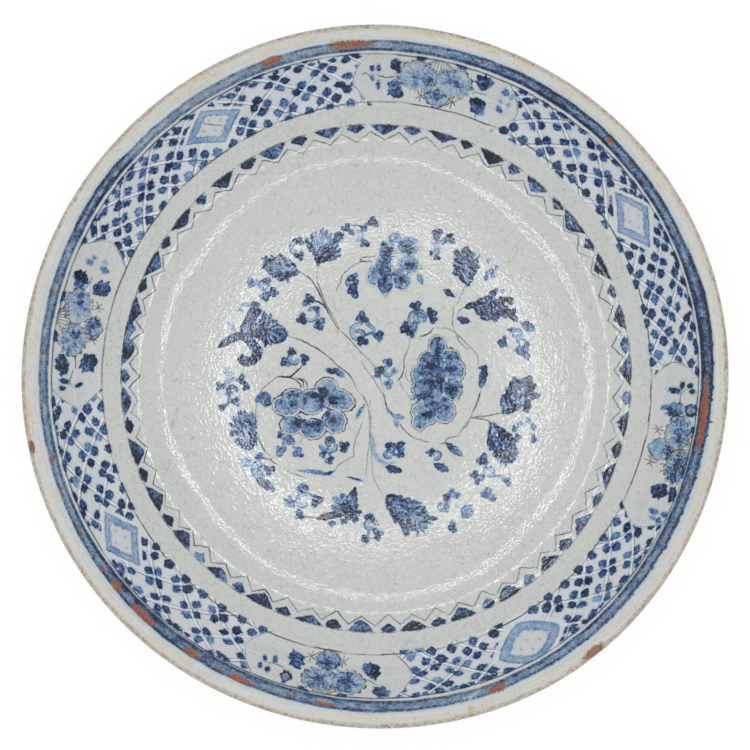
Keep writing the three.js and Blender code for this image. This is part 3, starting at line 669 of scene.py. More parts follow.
BROWN_HEARTS = (
    (6.4, 64.6, 2.8, 1.6), (3.8, 56.8, 2.6, 1.4), (-22, -21.6, 2.2, 1.4), (-37.8, -11.8, 1.6, 2.8),
    (-36, -9.4, 2.2, 1.2),
)
OUTLINES = (  # the ink that stands clear of the petals
    ((1.4, 45), (3.4, 42.6), (4.6, 40.2), (5.8, 43), (7.8, 45)), ((14.8, 43.8), (17.4, 42.8)),
    ((20.4, 60), (22, 57.6), (23.2, 55.4), (20.4, 55)), ((7, 75.5), (9, 77), (12, 77.4)),
    ((-20.6, -6), (-16, -7.2), (-13.4, -9.2)),
    ((-11.8, -11), (-11.6, -13), (-13.6, -14.6), (-18.4, -16.4)),
    ((-37.6, -30), (-38, -31.8), (-39.2, -33.4)),
    ((20.6, -26.4), (21.6, -27.5), (23.4, -26.6), (24.6, -24.4)), ((40.5, -13), (42, -10.6), (43, -8.6)),
    ((16, 5.4), (14.8, 1), (16, -1), (17.6, -2.2)), ((22, 10), (23, 12), (25, 12.4)),
    ((37.6, 15), (40.4, 13.6), (42.4, 10.4)), ((43.4, 8.6), (45, 6.4), (45.4, 5.2)),
)


def paint_fringe(c, arc, out, count, length, seed):
    """Short pale rays side by side along an arc, parted by thin ink lines."""
    line = through(arc, 12)
    at = np.linspace(0, len(line) - 1, count)
    px, py = (np.interp(at, np.arange(len(line)), p) for p in line.T)
    for k in range(count):
        dx, dy = px[k] - out[0], py[k] - out[1]
        size = math.hypot(dx, dy) / length
        end = (px[k] + dx / size, py[k] + dy / size)
        found, depth = c.oval((px[k] + end[0]) / 2, (py[k] + end[1]) / 2, length / 2, 0.52,
                              math.degrees(math.atan2(dy, dx)), 0.02)
        c.wipe(found, depth, 0.95)
        c.lay(found, depth, 0.8, "pale")
        if k + 1 < count:
            x, y = (px[k] + px[k + 1]) / 2, (py[k] + py[k + 1]) / 2
            c.stroke([(x, y), (x + dx / size, y + dy / size)], 0.3, 0.6 + 0.2 * math.sin(k * seed), edge=0.3)


def paint_medallion(c):
    """The flowering branch on the well's floor."""
    for width, tone, line in STEMS:
        c.stroke(line, 0.16 + 1.1 * width, 0.32 + tone, ends=(0.5, 0.4), broken=0.4)
    c.stroke(((-2.6, -28), (-1.2, -34), (-1, -38), (2, -41.6), (6, -43.6), (9.4, -42.6)), 2.2, 0.26, "cobalt",
             halo=0.3)
    c.stroke(((-6, 28.6), (-3, 26.6), (-0.5, 23.6)), 2.4, 0.5, "cobalt")
    c.stroke(((3, -15), (5, -15.6)), 0.5, 0.7)
    # Leaf at the top left, fanning up, pale in its upper middle.
    c.fan(-29.6, 57, 76, 18.5, 31, 0.95, 7)
    c.fan(-29.6, 58, 42, 14.5, 26, 1, 5)
    c.stroke(((-33, 64), (-34.6, 68), (-35.8, 71)), 2, 0.95, "cobalt")
    c.stroke(((-27, 72), (-26.6, 76.4)), 1.8, 0.9, "cobalt")
    c.pale_dab(-28.6, 69.4, 3.8, 3.4, 0, 0.55)
    c.dab(-19, 71.6, 2.8, 2.4, 40, 1.05)
    c.dab(-25.5, 62, 5, 2.6, 30, 1)
    # Dark leaf below it.
    # The last number of this and the other big leaves paints pale specks into them, a painted highlight.
    c.leaf(-39.6, 54.5, -57.4, 57.4, 12.6, 1.25, 7, 0.5, 0.3, 0.12)
    c.dab(-49, 58, 6, 2.4, -50, 0.2, "brown", 0.4, edge=2)
    for x, y, tip_x, tip_y in ((-46, 58, -48.6, 63), (-50, 58, -53, 62), (-53, 57, -56, 60),
                               (-45, 53, -44.6, 48.8), (-48, 53, -49.6, 50)):
        c.stroke(((x, y), (tip_x, tip_y)), 2.1, 1.1, "cobalt", ends=(1, 0.4))
    c.pale_dab(-48, 59, 4.4, 1, -50, 0.5)
    # Great scrolled leaf at the left.
    c.leaf(-44.6, 21.6, -66, 24.4, 10.5, 0.72, 3, 0.4, 0.25)
    c.dab(-55.4, 24.4, 6.6, 6, 0, 0.74)
    for x, y, tone in ((-56.6, 33.8, 0.95), (-53.4, 32.6, 0.95), (-49.8, 29, 0.9), (-50.4, 17.6, 1.02),
                       (-53.4, 16.6, 0.9), (-56, 15.8, 0.8), (-47.4, 26, 0.8)):
        c.stroke(((-56, 24.6), ((x - 56) / 2, (y + 24.6) / 2), (x, y)), 3, tone, "cobalt", ends=(1, 0.25))
    c.stroke(((-56, 24), (-52, 23.6), (-46, 22)), 1.2, 0.95, "cobalt")
    for turn, out in ((78, 6.4), (60, 7), (32, 6.6), (8, 6), (-52, 6), (-72, 6.6), (40, 3.4), (-30, 5)):
        a = math.radians(turn)
        c.pale_dab(-56 + out * math.cos(a), 24.6 + out * math.sin(a), 2.8, 0.5, turn, 0.7)
    c.stroke(((-58, 22.6), (-64, 22.4), (-70, 21.2), (-75, 19), (-79.4, 15.8)), 4.4, 0.14, "brown",
             ends=(0.9, 0.3))
    c.stroke(((-58, 22.6), (-64, 22.4), (-70, 21.2), (-75, 19), (-79.4, 15.8)), 4.2, 0.95, "cobalt",
             ends=(0.9, 0.3))
    c.stroke(((-67.4, 22.6), (-65.4, 27), (-62.8, 31.4), (-61.6, 36.6)), 5.4, 0.9, "cobalt", ends=(0.6, 0.6))
    c.dab(-60.6, 33.4, 2.7, 2.2, 0, 1)
    c.dab(-61.4, 36.8, 2.4, 2, 0, 1.08)
    c.stroke(((-62.6, 35.6), (-65.4, 37.6), (-68, 37), (-69, 35), (-67.6, 33.6)), 1.5, 0.42, "cobalt",
             halo=0.3)
    c.stroke(((-69.4, 21), (-65, 19.4), (-61.4, 16), (-60, 12.4), (-62.4, 9.2), (-65.6, 8.4), (-68, 10),
              (-67, 12.4)), 5, 0.9, "cobalt", ends=(0.5, 0.2))
    c.dab(-59, 15.2, 1.8, 1.3, -30, 1)
    c.stroke(((-72, 22), (-72.6, 26), (-75, 28)), 1.8, 0.32, "cobalt", halo=0.3)
    for line in (((-69, 24), (-65, 29), (-63, 34)), ((-66, 23), (-62, 27), (-59, 30)),
                 ((-55, 27), (-52, 26), (-48, 24))):
        c.stroke(line, 0.4, 0.6)
    c.pale_dab(-65.6, 25.4, 1.4, 2.4, -30, 0.5)
    # Leaves at the right.
    c.leaf(46.6, 46.4, 44.6, 66, 12.6, 1.12, 6, 0.55, 0.3, 0.15)
    for x, y in ((41, 63), (45.2, 64.6), (48.4, 62.4), (50.6, 57), (40.6, 53)):
        c.lobed(x, y, 1.9, 80, 1.1)
    c.stroke(((44.8, 35.6), (50, 37), (56, 36.6)), 3.2, 1.05, "cobalt", ends=(0.2, 0.8))
    c.leaf(49, 36.6, 66.5, 33.6, 12.6, 1.1, 5, 0.45, 0.35, 0.12)
    c.stroke(((51.5, 38), (56.6, 40.2), (61, 45)), 3.4, 0.95, "cobalt", ends=(0.5, 0.4))
    c.dab(55.6, 32.8, 4.4, 3.6, 0, 0.82)
    for x, y, size in ((62.4, 37.6, 3), (67, 38.8, 2.4), (64.6, 33.2, 2.8), (68.4, 33, 2.2), (58.4, 37, 2.4)):
        c.lobed(x, y, size, 50, 1.14)
    c.stroke(((66, 33.4), (68.8, 31), (71.4, 28.8)), 3, 1.05, "cobalt", ends=(0.8, 0.3))
    c.leaf(64, -17.4, 76.4, -1.6, 13, 1.3, 5, 0.5, 0.2, 0.2)
    for x, y, size, turn in ((76.6, -1, 2.4, 60), (79, -4.4, 2, 20), (79.4, -8.6, 2.5, 0),
                             (76.4, -13.4, 2.4, -30), (69, -13.4, 3, 200), (75.8, -15.6, 1.6, -60),
                             (68.6, -6, 2.2, 150), (70, -2, 2.6, 110)):
        c.lobed(x, y, size, turn, 1.12)
    c.leaf(57.6, -22.6, 68.6, -43, 14.5, 1.05, 6, 0.56, 0.35, 0.45)
    c.dab(64, -28.6, 3.4, 2.6, -40, 1.1)
    for x, y in ((70, -25.4), (71.4, -30), (57.6, -31), (58.4, -34.4), (70, -37.6), (62.8, -39.6)):
        c.lobed(x, y, 1.9, 0, 0.85)
    # Leaves at the foot.
    c.leaf(5, -60, 25.6, -75.6, 15.6, 1.1, 7, 0.52, 0.25, 0.25)
    c.stroke(((21, -68), (26, -70.2), (31, -71)), 2.4, 0.95, "cobalt")
    c.lobed(15.4, -76.4, 2.6, 250, 0.85)
    c.lobed(23.4, -66, 1.8, 40, 1.05)
    c.dab(12.6, -64, 6, 2, -30, 0.62)
    c.fan(-60.4, -34, 119, 19.5, 27, 1, 5, 0.6)
    c.dab(-64.8, -34, 3, 2.6, 0, 0.85)
    c.dab(-71.4, -27.8, 2.2, 1.7, 0, 0.95)
    c.dab(-69, -32, 2.2, 1.8, 0, 0.95)
    c.stroke(((-63.6, -26), (-62.4, -30), (-61.6, -34)), 3, 1.1, "cobalt")
    c.fan(-10.4, -55, 252, 17.5, 23, 1.02, 5, 0.4)
    c.stroke(((-13, -65.6), (-18, -68.2), (-24, -69.8), (-30, -70.8)), 3.6, 1.05, "cobalt", ends=(0.9, 0.3))
    for x, y, size, tone in ((-22, -73.4, 1.8, 1.05), (-16.6, -72.4, 1.8, 1.05), (-9, -68, 1.9, 1.05),
                             (-19.4, -62.6, 3, 0.42), (-11, -71, 2, 1.05), (-20.8, -66, 2, 0.9),
                             (-16.6, -59.6, 1.6, 0.7)):
        c.lobed(x, y, size, 250, tone)
    for x, y, radius, start, sweep, width, tone in CURLS:
        c.spiral(x, y, radius, start, sweep, width, tone)
    for x, y, size, turn, tone in CLUMPS:
        cx, cy, radius = min(CURLS, key=lambda curl: math.hypot(x - curl[0], y - curl[1]))[:3]
        away = math.hypot(x - cx, y - cy)
        if away < 10:
            start = cx + (x - cx) * radius / away, cy + (y - cy) * radius / away
            bend = (start[0] + x) / 2 - 0.18 * (y - start[1]), (start[1] + y) / 2 + 0.18 * (x - start[0])
            c.stroke((start, bend, (x, y)), 1.6, 0.62 * tone, "cobalt", ends=(0.8, 0.9), halo=0.08)
        c.lobed(x, y, size, turn, tone)
    for x0, y0, x1, y1, width, tone, teeth in SMALL_LEAVES:
        c.leaf(x0, y0, x1, y1, width, tone, teeth, 0.5, 0.1)
    c.flower(TOP_FLOWER, 0.5, 0.3, 0.4)
    c.flower(LEFT_FLOWER, 0.9, 0.5, 1.1)
    c.flower(RIGHT_FLOWER, 0.8, 0.42, 0.9, scallop=0.08)
    for x, y, rx, ry, turn, tone in HEARTS:
        c.dab(x, y, rx * 1.3, ry * 1.3, turn, tone * 0.68, ragged=0.4, edge=2.2, halo=0)
        c.dab(x, y, rx * 0.84, ry * 0.84, turn, tone * 1.08, ragged=0.5, edge=1.1, halo=0)
    for x, y, rx, ry in BROWN_HEARTS:
        c.dab(x, y, rx, ry, 0, 0.42, "brown", 0.4, edge=1.2)
    c.dab(-33, -13.8, 4.6, 3.4, 0, 0.36, "cobalt")
    c.pale_dab(-32.6, -14.4, 4.2, 3, 0, 0.4)
    c.stroke(((32, 5), (32.2, -1), (32.6, -6), (33.4, -10)), 0.9, 0.7, "pale")
    for line in OUTLINES:
        c.stroke(line, 0.42, 0.7, broken=0.3)
    for k in range(9):
        y = 4 - 2 * k
        c.stroke(((20.2, y), (17.8 - 0.4 * math.sin(k * 2), y - 1.2), (17.4, y - 0.4)), 0.4, 0.7, broken=0.2)
    paint_fringe(c, ((9.2, 67.2), (8.2, 64.6), (7.8, 61.6), (8.2, 58.8), (9.2, 56.6)), (1, 62), 10, 2.2, 2.1)
    paint_fringe(c, ((-40, -17.4), (-36, -18.8), (-32, -19.2), (-28.4, -17.6), (-25.8, -14.8)), (-33, -11),
                 14, 2.3, 1.7)


def paint_zigzag(c):
    """Triangles that hang inwards from a line round the floor, and one thin zigzag line that follows them.

    The canvas runs in bearing times ARC and plan radius.
    """
    rng = np.random.default_rng(41)
    even = 12 * np.arange(30)
    wide = even + np.interp(even, (0, 70, 138, 156, 170, 192, 240, 276, 320, 348),
                            (1.8, 2.5, 9.4, 8.4, 5.2, 5, 2.4, 2.6, 0.8, 1.5))
    top, marks = 128.5, []
    for k, bearing in enumerate(wide):
        following = wide[k + 1] if k < 29 else wide[0] + 360
        marks.append((bearing, rng.uniform(2.9, 3.7), rng.uniform(4.4, 6.2), 8.1))
        marks.append(((bearing + following) / 2 + rng.uniform(-0.4, 0.4), rng.uniform(1.5, 2.1),
                      rng.uniform(3.9, 5), 8.8))
    for k, (bearing, half, deep, low) in enumerate(marks):
        tone = rng.uniform(0.95, 1.6) if abs(bearing - 226) > 3 else 0.5
        lean, fullness = rng.uniform(-0.22, 0.22), rng.uniform(0.55, 1)
        found, dx, dy = c.near(bearing * ARC, top - 3, 13)
        if found.size:
            hang = 3 - dy + 0.12 * c.slow[found]
            share = np.clip(hang / deep, 0, 1)
            if k % 2:
                share = np.abs(share - 0.34) / 0.66
            bulge = half * ARC * (1 - share) ** fullness * smooth(hang / 0.9 + 0.45)
            depth = np.minimum(np.minimum(hang, deep - hang), (bulge - np.abs(dx - lean * hang)) * 0.72)
            c.lay(found, depth + 0.3 * c.rough[found],
                  tone * (0.86 + 0.3 * c.slow[found] + 0.2 * c.grain[found]), halo=0.08)
        after = (marks[(k + 1) % len(marks)][0] - bearing) % 360
        before = (bearing - marks[k - 1][0]) % 360
        bottom = top - low - rng.uniform(-0.4, 0.4)
        high = top - 3.6 - rng.uniform(-0.4, 0.5)
        weight = rng.uniform(0.6, 1.1)
        for side in (-before / 2, after / 2):
            c.stroke((((bearing + side) * ARC, high), (bearing * ARC, bottom)), 0.7, 1.4 * weight,
                     ends=(0.6, 0.7), broken=0.3)
        dark = (1.1 if 140 < bearing < 182 else 0.7) + rng.uniform(-0.2, 0.2)
        edge = half * ARC + 1
        c.stroke(((bearing * ARC - edge, top), (bearing * ARC, top + 0.2), (bearing * ARC + edge, top)), 0.66,
                 1.15 * dark, broken=0.5)


# The trellis, stretch by stretch: first and last bearing, a crossing's bearing and radius, and the pitch.
TRELLIS = (
    (126, 156, 141, 149, 8.0), (90, 120, 104.1, 148.7, 8.75), (34, 66, 53.9, 144.4, 8.6),
    (1, 29, 13.0, 151.3, 8.35), (303, 332, 320.6, 149.5, 8.3), (274, 297, 285.9, 150.4, 8.6),
    (216, 248, 231.5, 149, 9.5), (182, 209, 195, 148.5, 8.7),
)
# The middle of each lozenge, as bearing and radius, and the bearings of the reserves' middles.
LOZENGES = ((31.4, 151.3), (123, 150.8), (212.6, 150.8), (300, 153.2))
RESERVES = (78.0, 169.3, 260.5, 346.5)
# What each reserve holds: u is millimetres clockwise from its middle and v is plan millimetres out from MID.
# Kinds: f flower, h dark heart, w lower flower, t torn leaf, d touch, b bud, k line.
RESERVE_ART = {
    169.3: (
        ("f", -9.9, 2.9, 6.5, 4.4, 0.48), ("f", 6.8, 3.2, 7.1, 4.6, 0.42),
        ("h", -7.4, 1.9, 2.6, 1.5, 1.05), ("h", -12.4, 1.6, 1.2, 0.9, 0.9), ("h", 8.6, 2.8, 2, 1.2, 1.05),
        ("h", 12, 3.4, 2.2, 1.4, 0.85), ("w", -1.9, -5.2, 4.9, 3, 0.55), ("h", -1.4, -4, 3.6, 1.1, 1),
        ("t", -22.2, 6.7, 9.6, 5.4, 1.15, 190), ("t", -20.5, -4.8, 10.4, 7.2, 0.95, -20),
        ("t", 20, 5.6, 8.4, 6, 1.02, 10), ("t", 18.8, -4.4, 8.8, 7, 0.75, -30),
        ("d", 29, 4.5, 1.5, 1.9, 0.55), ("d", 32, 3.6, 0.9, 1.2, 0.45), ("d", 28.4, -2.6, 1.6, 2.2, 0.6),
        ("d", 32, -1.8, 1.2, 1.4, 0.3), ("d", -30.2, 5.4, 1.3, 1.8, 1.15),
        ("d", -31.8, -0.8, 1.2, 1.9, 1.1), ("d", -33.5, 6.6, 1, 1.3, 0.9),
        ("k", -23.6, 1, -20, 0.8, -17, 1.6), ("k", -32.6, 3, -28, 2.8, -24, 1.2),
        ("k", 16, 2.6, 19, 1.6, 23, 1.4),
    ),
    78.0: (
        ("f", -10.3, 3, 7.8, 5, 0.36), ("f", 7.7, 3, 7.8, 5, 0.36), ("h", -5, 2, 2.4, 1.6, 0.85),
        ("h", -11.5, 2.4, 2, 1, 0.7), ("h", 7, 3.4, 4.6, 1.1, 0.8), ("h", 9.6, 2.4, 3, 0.8, 0.8),
        ("w", 0.6, -4.8, 5.2, 3.4, 0.5), ("h", 0.8, -4.2, 3.4, 1.9, 0.95),
        ("t", -21.6, 6.6, 4.6, 5, 1.1, 90), ("t", -21.3, -3.9, 8.6, 7, 0.85, -40),
        ("t", 21.6, 7.3, 8, 5.8, 1, 180), ("t", 22.2, -3.5, 9.6, 7, 0.95, -30),
        ("d", -32.7, 4.9, 1.1, 1.2, 0.95), ("d", -29.6, 4.9, 1, 1.5, 0.95), ("d", -33, 1.1, 1.2, 1.4, 0.6),
        ("d", -29.9, -2, 1.2, 1.8, 1), ("d", 33, 6.6, 1.9, 1.6, 0.6), ("d", 36.7, 6.2, 1.2, 1.4, 0.35),
        ("d", 32.4, 2.4, 1.4, 1, 0.35), ("d", 36.9, 2.6, 1, 1.2, 0.3), ("d", 33.3, -0.9, 2, 1.3, 0.6),
        ("k", -31, 2.4, -26, 1.2, -20.4, 1.8), ("k", 17.6, 1.2, 20, 2.2, 25, 2.8),
        ("k", -33, 0.4, -36, 3, -38, 2.6), ("h", -20.2, 5.6, 1.6, 2.6, 1.1),
    ),
    260.5: (
        ("f", -11.1, 4.2, 7.2, 4.3, 0.6), ("f", 3.1, 4.6, 6.8, 4.1, 0.55), ("h", -10, 3.6, 3.2, 1.4, 1),
        ("h", 3.6, 4.2, 2.6, 1.3, 1), ("w", -0.3, -4.8, 5.5, 4, 0.55), ("h", 0.2, -4, 3.4, 1.8, 0.95),
        ("b", 18.5, 7, 2.7, 2.6, 1.15), ("t", -27.5, 8, 8, 5, 1, 170), ("t", -22.8, -2, 9, 7, 0.9, -30),
        ("t", 16, -2, 9, 7, 0.9, -30), ("d", 27.8, 6.4, 1.2, 1.5, 1), ("d", 31.8, 5.8, 1.1, 1.5, 0.95),
        ("d", 26.2, 0.8, 1.3, 1.6, 0.9), ("d", 31.2, 2, 1.2, 1.4, 0.85), ("k", 20, 3.6, 25, 3, 31, 4),
        ("k", -18, 2, -22, 3, -26, 5),
    ),
    346.5: (
        ("f", -7.3, 4.2, 6.8, 4.5, 0.55), ("h", -6.2, 4.4, 3.4, 1.9, 1), ("f", 8.8, 7.1, 7, 4, 0.7),
        ("h", 8, 7.4, 4.6, 2.2, 1.15), ("h", 13, 6, 2.4, 1, 0.9), ("w", 2, -2.4, 4.6, 4.4, 0.34),
        ("h", 2.6, 1.2, 3, 1.8, 1.02), ("b", -18.7, 8.2, 3, 2.9, 1.15),
        ("t", -18.7, 1.1, 8, 7.6, 0.85, -60), ("h", -16.4, 0.6, 1.8, 2.6, 1.1),
        ("t", -19.6, -3.2, 4.6, 3, 0.9, -80), ("t", 21.7, 9.1, 7.6, 3.4, 1.15, 10),
        ("t", 22.4, 3, 7.8, 7, 0.92, -50), ("d", -30.4, 7.2, 1.2, 1.3, 1.15),
        ("d", -27.6, 8.2, 1.1, 1.5, 1.15), ("d", -31, 3.6, 1.6, 1.1, 1.05),
        ("d", -28.3, 0.6, 1.4, 3, 0.95), ("d", 31.8, 9.2, 1.4, 1.4, 0.95), ("d", 35.2, 8.2, 1.4, 1.2, 0.7),
        ("d", 32.4, 4.4, 1.5, 2.2, 0.62), ("d", 35.4, 5.4, 1, 1.5, 0.45),
        ("k", -29, 5.8, -27, 3.6, -23, 3, -20, 3.8), ("k", 10, 4, 9, 1, 9.6, -1),
        ("k", 9.8, 3.6, 12, 1.6, 13.6, 0.2),
    ),
}


def reserve_depth(u, v):
    """Depth inside a reserve's pale field: a long lens with blunt ends, open above and below."""
    half = 42.2 - 9.6 * np.clip(np.abs(v) / 11.5, 0, 1) ** 1.6
    return half - np.abs(u)


def paint_reserve(c, centre, rng):
    """A pale field in the trellis with two flowers, a lower one, leaves and sprigs."""
    bx = centre * ARC
    found, dx, v = c.near(bx, 0, 46)
    u = -dx
    depth = reserve_depth(u, v)
    inside = found[depth > -1.2]
    depth_inside = depth[depth > -1.2]
    c.fade(smooth((depth_inside + 1.2) / 0.6), inside)
    c.fade(smooth(depth_inside), inside, ("pale",))
    c.lift("pale", 0.16, inside)
    weight = 0.95 * (1 - 0.55 * smooth(c.slow[found] * 1.4 + 0.4 * c.rough[found] + 0.2))
    c.lay(found, 0.26 - np.abs(depth + 0.3), weight, "ink", 0.3)
    for k in range(9):
        lean = (k - 4) / 4
        start, end = (bx - 0.4 * lean, 12.2), (bx + 7 * lean, 6 + 1.8 * abs(lean))
        c.stroke((start, (bx + 4.8 * lean, 9.8 - 0.4 * abs(lean)), end), 0.4, 0.9, broken=0.3)
        c.dab(end[0], end[1], 0.5, 0.45, 0, 0.8, "ink")
    for side in (-1, 1):
        c.dab(bx - side * 9, 10.9, 2.8, 1.4, side * 20, 1.05, ragged=0.25)
    petals, hearts, scallops = [], [], []
    for kind, *n in RESERVE_ART[centre]:
        x, y = bx - n[0], n[1]
        if kind == "f":
            petals.append((x, y, n[2], n[3], 0, 0.84 * n[4]))
            scallops.append((x, y, n[2] + 0.9, n[3] + 0.9))
        elif kind == "w":
            petals.append((x, y, n[2], n[3], 0, n[4]))
            c.stroke([(x - n[2] - 1, y + 1), (x - n[2] - 0.4, y - 1.6), (x - n[2] * 0.4, y - n[3] - 0.7),
                      (x, y - n[3] - 1.4), (x + n[2] * 0.4, y - n[3] - 0.7), (x + n[2] + 0.4, y - 1.6),
                      (x + n[2] + 1, y + 1)], 0.42, 1.2, broken=0.3)
        elif kind == "h":
            hearts.append((x, y, n[2], n[3], n[4]))
        elif kind == "d":
            c.dab(x, y, n[2], n[3], rng.uniform(-25, 25), n[4], ragged=0.25)
        elif kind == "b":
            c.dab(x, y, n[2], n[3], 0, n[4], ragged=0.3)
            c.pale_dab(x, y + 0.2, n[2] * 0.6, n[3] * 0.6, 0, 0.6)
            c.dab(x, y, n[2] * 0.6, n[3] * 0.6, 0, 0.55, "brown")
        elif kind == "t":
            c.torn(x, y, 0.56 * n[2], 0.56 * n[3], 180 - n[5], n[4])
        else:
            line = [(bx - n[k], n[k + 1]) for k in range(0, len(n), 2)]
            c.stroke(line, 0.5, 0.9, broken=0.3)
    c.flower(petals, 0.45, 0.3, 0.9, scallop=0.2, dashed=0.7)
    for x, y, rx, ry in scallops:
        for k in range(11):
            a = 2 * math.pi * (k + 0.3 * math.sin(3 * k + x)) / 11
            c.pale_dab(x + 0.6 * rx * math.cos(a), y + 0.6 * ry * math.sin(a), 0.26 * rx, 0.34,
                       math.degrees(a), 0.75)
    for x, y, rx, ry in scallops:
        for k in range(13):
            a = 2 * math.pi * (k + 0.5) / 13
            px, py = x + rx * math.cos(a), y + ry * math.sin(a)
            if any(math.hypot((px - qx) / (qrx - 0.6), (py - qy) / (qry - 0.6)) < 1
                   for qx, qy, qrx, qry in scallops):
                continue
            c.stroke([(px - 0.8 * math.sin(a) * 1.1, py + 0.8 * math.cos(a)),
                      (px + 0.9 * math.cos(a), py + 0.9 * math.sin(a)),
                      (px + 0.8 * math.sin(a) * 1.1, py - 0.8 * math.cos(a))], 0.36, 1.25, broken=0.35)
    for x, y, rx, ry, tone in hearts:
        c.dab(x, y, rx * 0.9, ry * 0.9, 0, tone, ragged=0.7, edge=0.9, halo=0.2)
        c.dab(x, y, rx * 0.5, ry * 0.5, 0, 0.25 * tone, "brown", 0.4, edge=1)
        for k in range(5):
            a = 1.3 * k + x
            c.dab(x + 1.1 * rx * math.cos(a), y + 1.3 * ry * math.sin(a), 1, 0.35, math.degrees(a),
                  0.75 * tone, ragged=0.3, halo=0)
    for side in (-1, 1):
        x, y = bx - 0.8 + side * 8.4, -5.2
        for ex, ey in ((-2.6, 1.6), (2.2, 1.8), (-2.2, -1.6), (2.6, -2.2), (0.4, -3.2), (0, 3)):
            c.stroke(((x, y), (x + ex * 0.6, y + ey * 0.4), (x + ex, y + ey)), 0.38, 1.3, broken=0.25)


def paint_lozenge(c, bearing, radius):
    """A diamond with a broad light-blue border and a pale, finely crossed middle."""
    x, y = bearing * ARC, radius - MID
    found, dx, dy = c.near(x, y, 22)
    if not found.size:
        return
    if bearing == LOZENGES[3][0]:  # a rounder one
        size = ((np.abs(dx) / 17) ** 1.35 + (np.abs(dy) / np.where(dy > 0, 8.2, 11.8)) ** 1.35) ** (1 / 1.35)
    else:
        size = np.abs(dx - 0.12 * dy) / 16.4 + np.abs(dy) / np.where(dy > 0, 7.8, 9.5)
    depth = (1 - size) * 8
    clear = smooth((depth + 2) / 0.7)
    c.fade(clear, found)
    c.lift("pale", 0.5 * clear, found)
    wash = 0.27 + 0.08 * c.slow[found] + 0.14 * bell(depth - 0.4, 0.4) + 0.08 * c.grain[found]
    wash = wash + 0.1 * bell(depth - 2.8, 0.4)
    wash = wash * smooth(depth / 0.6 + 0.5) * (1 - 0.9 * smooth((depth - 2.8 - 0.6 * c.rough[found]) / 0.9))
    c.lift("cobalt", wash, found)
    c.lift("ink", 0.4 * wash, found)
    middle = smooth((depth - 3.5) / 0.8)
    crossed = np.maximum(np.cos(dx * 3.4 + dy * 1.2), np.cos(dy * 4 - dx * 0.6)) ** 6
    c.lift("tan", middle * (0.16 + 0.2 * crossed * smooth(c.slow[found] + 0.6)), found)
    c.lift("pale", middle * 0.75, found)
    for k in range(4):
        c.dab(x + (0, 5, 0, -5)[k], y + (2.4, 0, -2.4, 0)[k], 0.5, 0.4, 0, 0.5, "ink")
    if bearing == LOZENGES[1][0]:
        c.stroke(((x + 4, y + 3.6), (x, y + 0.6), (x - 4.6, y - 2.6)), 0.5, 0.8)


def paint_trellis(c, slant, stretch, rng):
    """White ribbons, each between two dark hairlines, cross at even steps, with four blue touches at each.

    The lattice is square on the wall itself, so it is drawn on the distance along the wall's section.
    """
    first, last, bearing, radius, pitch = stretch
    y0 = slant.rise_at(radius)
    row, shorter = 10.3, 8.9  # from one row of crossings to the next, above the middle row and below it
    wide = pitch * ARC
    found, dx = c.near((first + last) / 2 * ARC, 0, (last - first) / 2 * ARC + 8)[:2]
    if not found.size:
        return
    up = slant.rise[found] - y0
    up = np.where(up < 0, up * row / shorter, up)
    across = dx + ((first + last) / 2 - bearing) * ARC
    inside = np.abs(dx) < (last - first) / 2 * ARC
    a, b = across / wide + up / (2 * row), across / wide - up / (2 * row)
    scale = 1 / math.hypot(1 / wide, 1 / (2 * row))
    keep = np.where(inside, 0.0, -9)
    for k, field in enumerate((a, b)):
        off = (field - np.round(field)) * scale + 0.35 * c.slow[found]
        weight = 0.85 * (1 - 0.65 * smooth(c.slow[found] * (1.6 - k) + 0.7 * c.rough[found] + 0.3))
        c.lift("pale", smooth((1.1 - np.abs(off) + keep) / 0.5), found)
        c.wipe(found, 0.9 - np.abs(off) + keep, 0.85)
        for side, part in ((1.15, 1.1), (-1.15, 0.6)):
            c.lay(found, 0.25 - np.abs(off - side) + keep, part * weight, "ink", 0.3)
    for row_at in range(-4, 5):
        for step in range(-4, 5):
            at = bearing + (step + 0.5 * (row_at % 2)) * pitch
            centre = y0 + row_at * (row if row_at > 0 else shorter)
            for ox, oy in ((4.1, 0), (0, 4.6), (-4.1, 0), (0, -4.6)):
                x = at * ARC + ox + rng.normal(0, 0.4)
                rise = centre + oy + rng.normal(0, 0.4)
                draw = rng.random(5)
                if not first - 1.5 < x / ARC < last + 1.5 or not slant.low - 0.8 < rise < slant.high + 1.4:
                    continue
                y = slant.plan_of(rise) - MID
                squeeze = slant.squeeze(rise)
                near_top = smooth((rise - slant.high + 7) / 6)
                rx, ry = 2.4 + 0.6 * draw[0], (2.4 + 0.6 * draw[1]) * squeeze
                tone = 0.8 + 0.42 * draw[2] + 0.2 * near_top
                if draw[3] < 0.1:
                    tone *= 0.6
                c.dab(x, y, rx, ry * (1 - 0.25 * near_top), (draw[4] - 0.5) * 40, tone, ragged=0.2, halo=0.1,
                      power=1.55)
    at = first
    while at < last:
        c.dab(at * ARC, 159 - MID + rng.uniform(-0.4, 0.5), rng.uniform(1.2, 2.4), rng.uniform(0.6, 0.9), 0,
              rng.uniform(1, 1.35), ragged=0.3, halo=0.1)
        at += rng.uniform(1.7, 3.6)


class Slant:
    """How far up the wall a point of the border lies, measured along the wall from MID."""

    def __init__(self, form, r):
        self.form = form
        self.base = form.face.where(MID)
        self.rise = form.face.where(r) - self.base
        self.low, self.high = form.face.where(138) - self.base, form.face.where(160) - self.base

    def rise_at(self, r):
        return float(self.form.face.where(r) - self.base)

    def plan_of(self, rise):
        return float(self.form.face.at(self.base + rise)[0])

    def squeeze(self, rise):
        return self.plan_of(rise + 0.5) - self.plan_of(rise - 0.5)


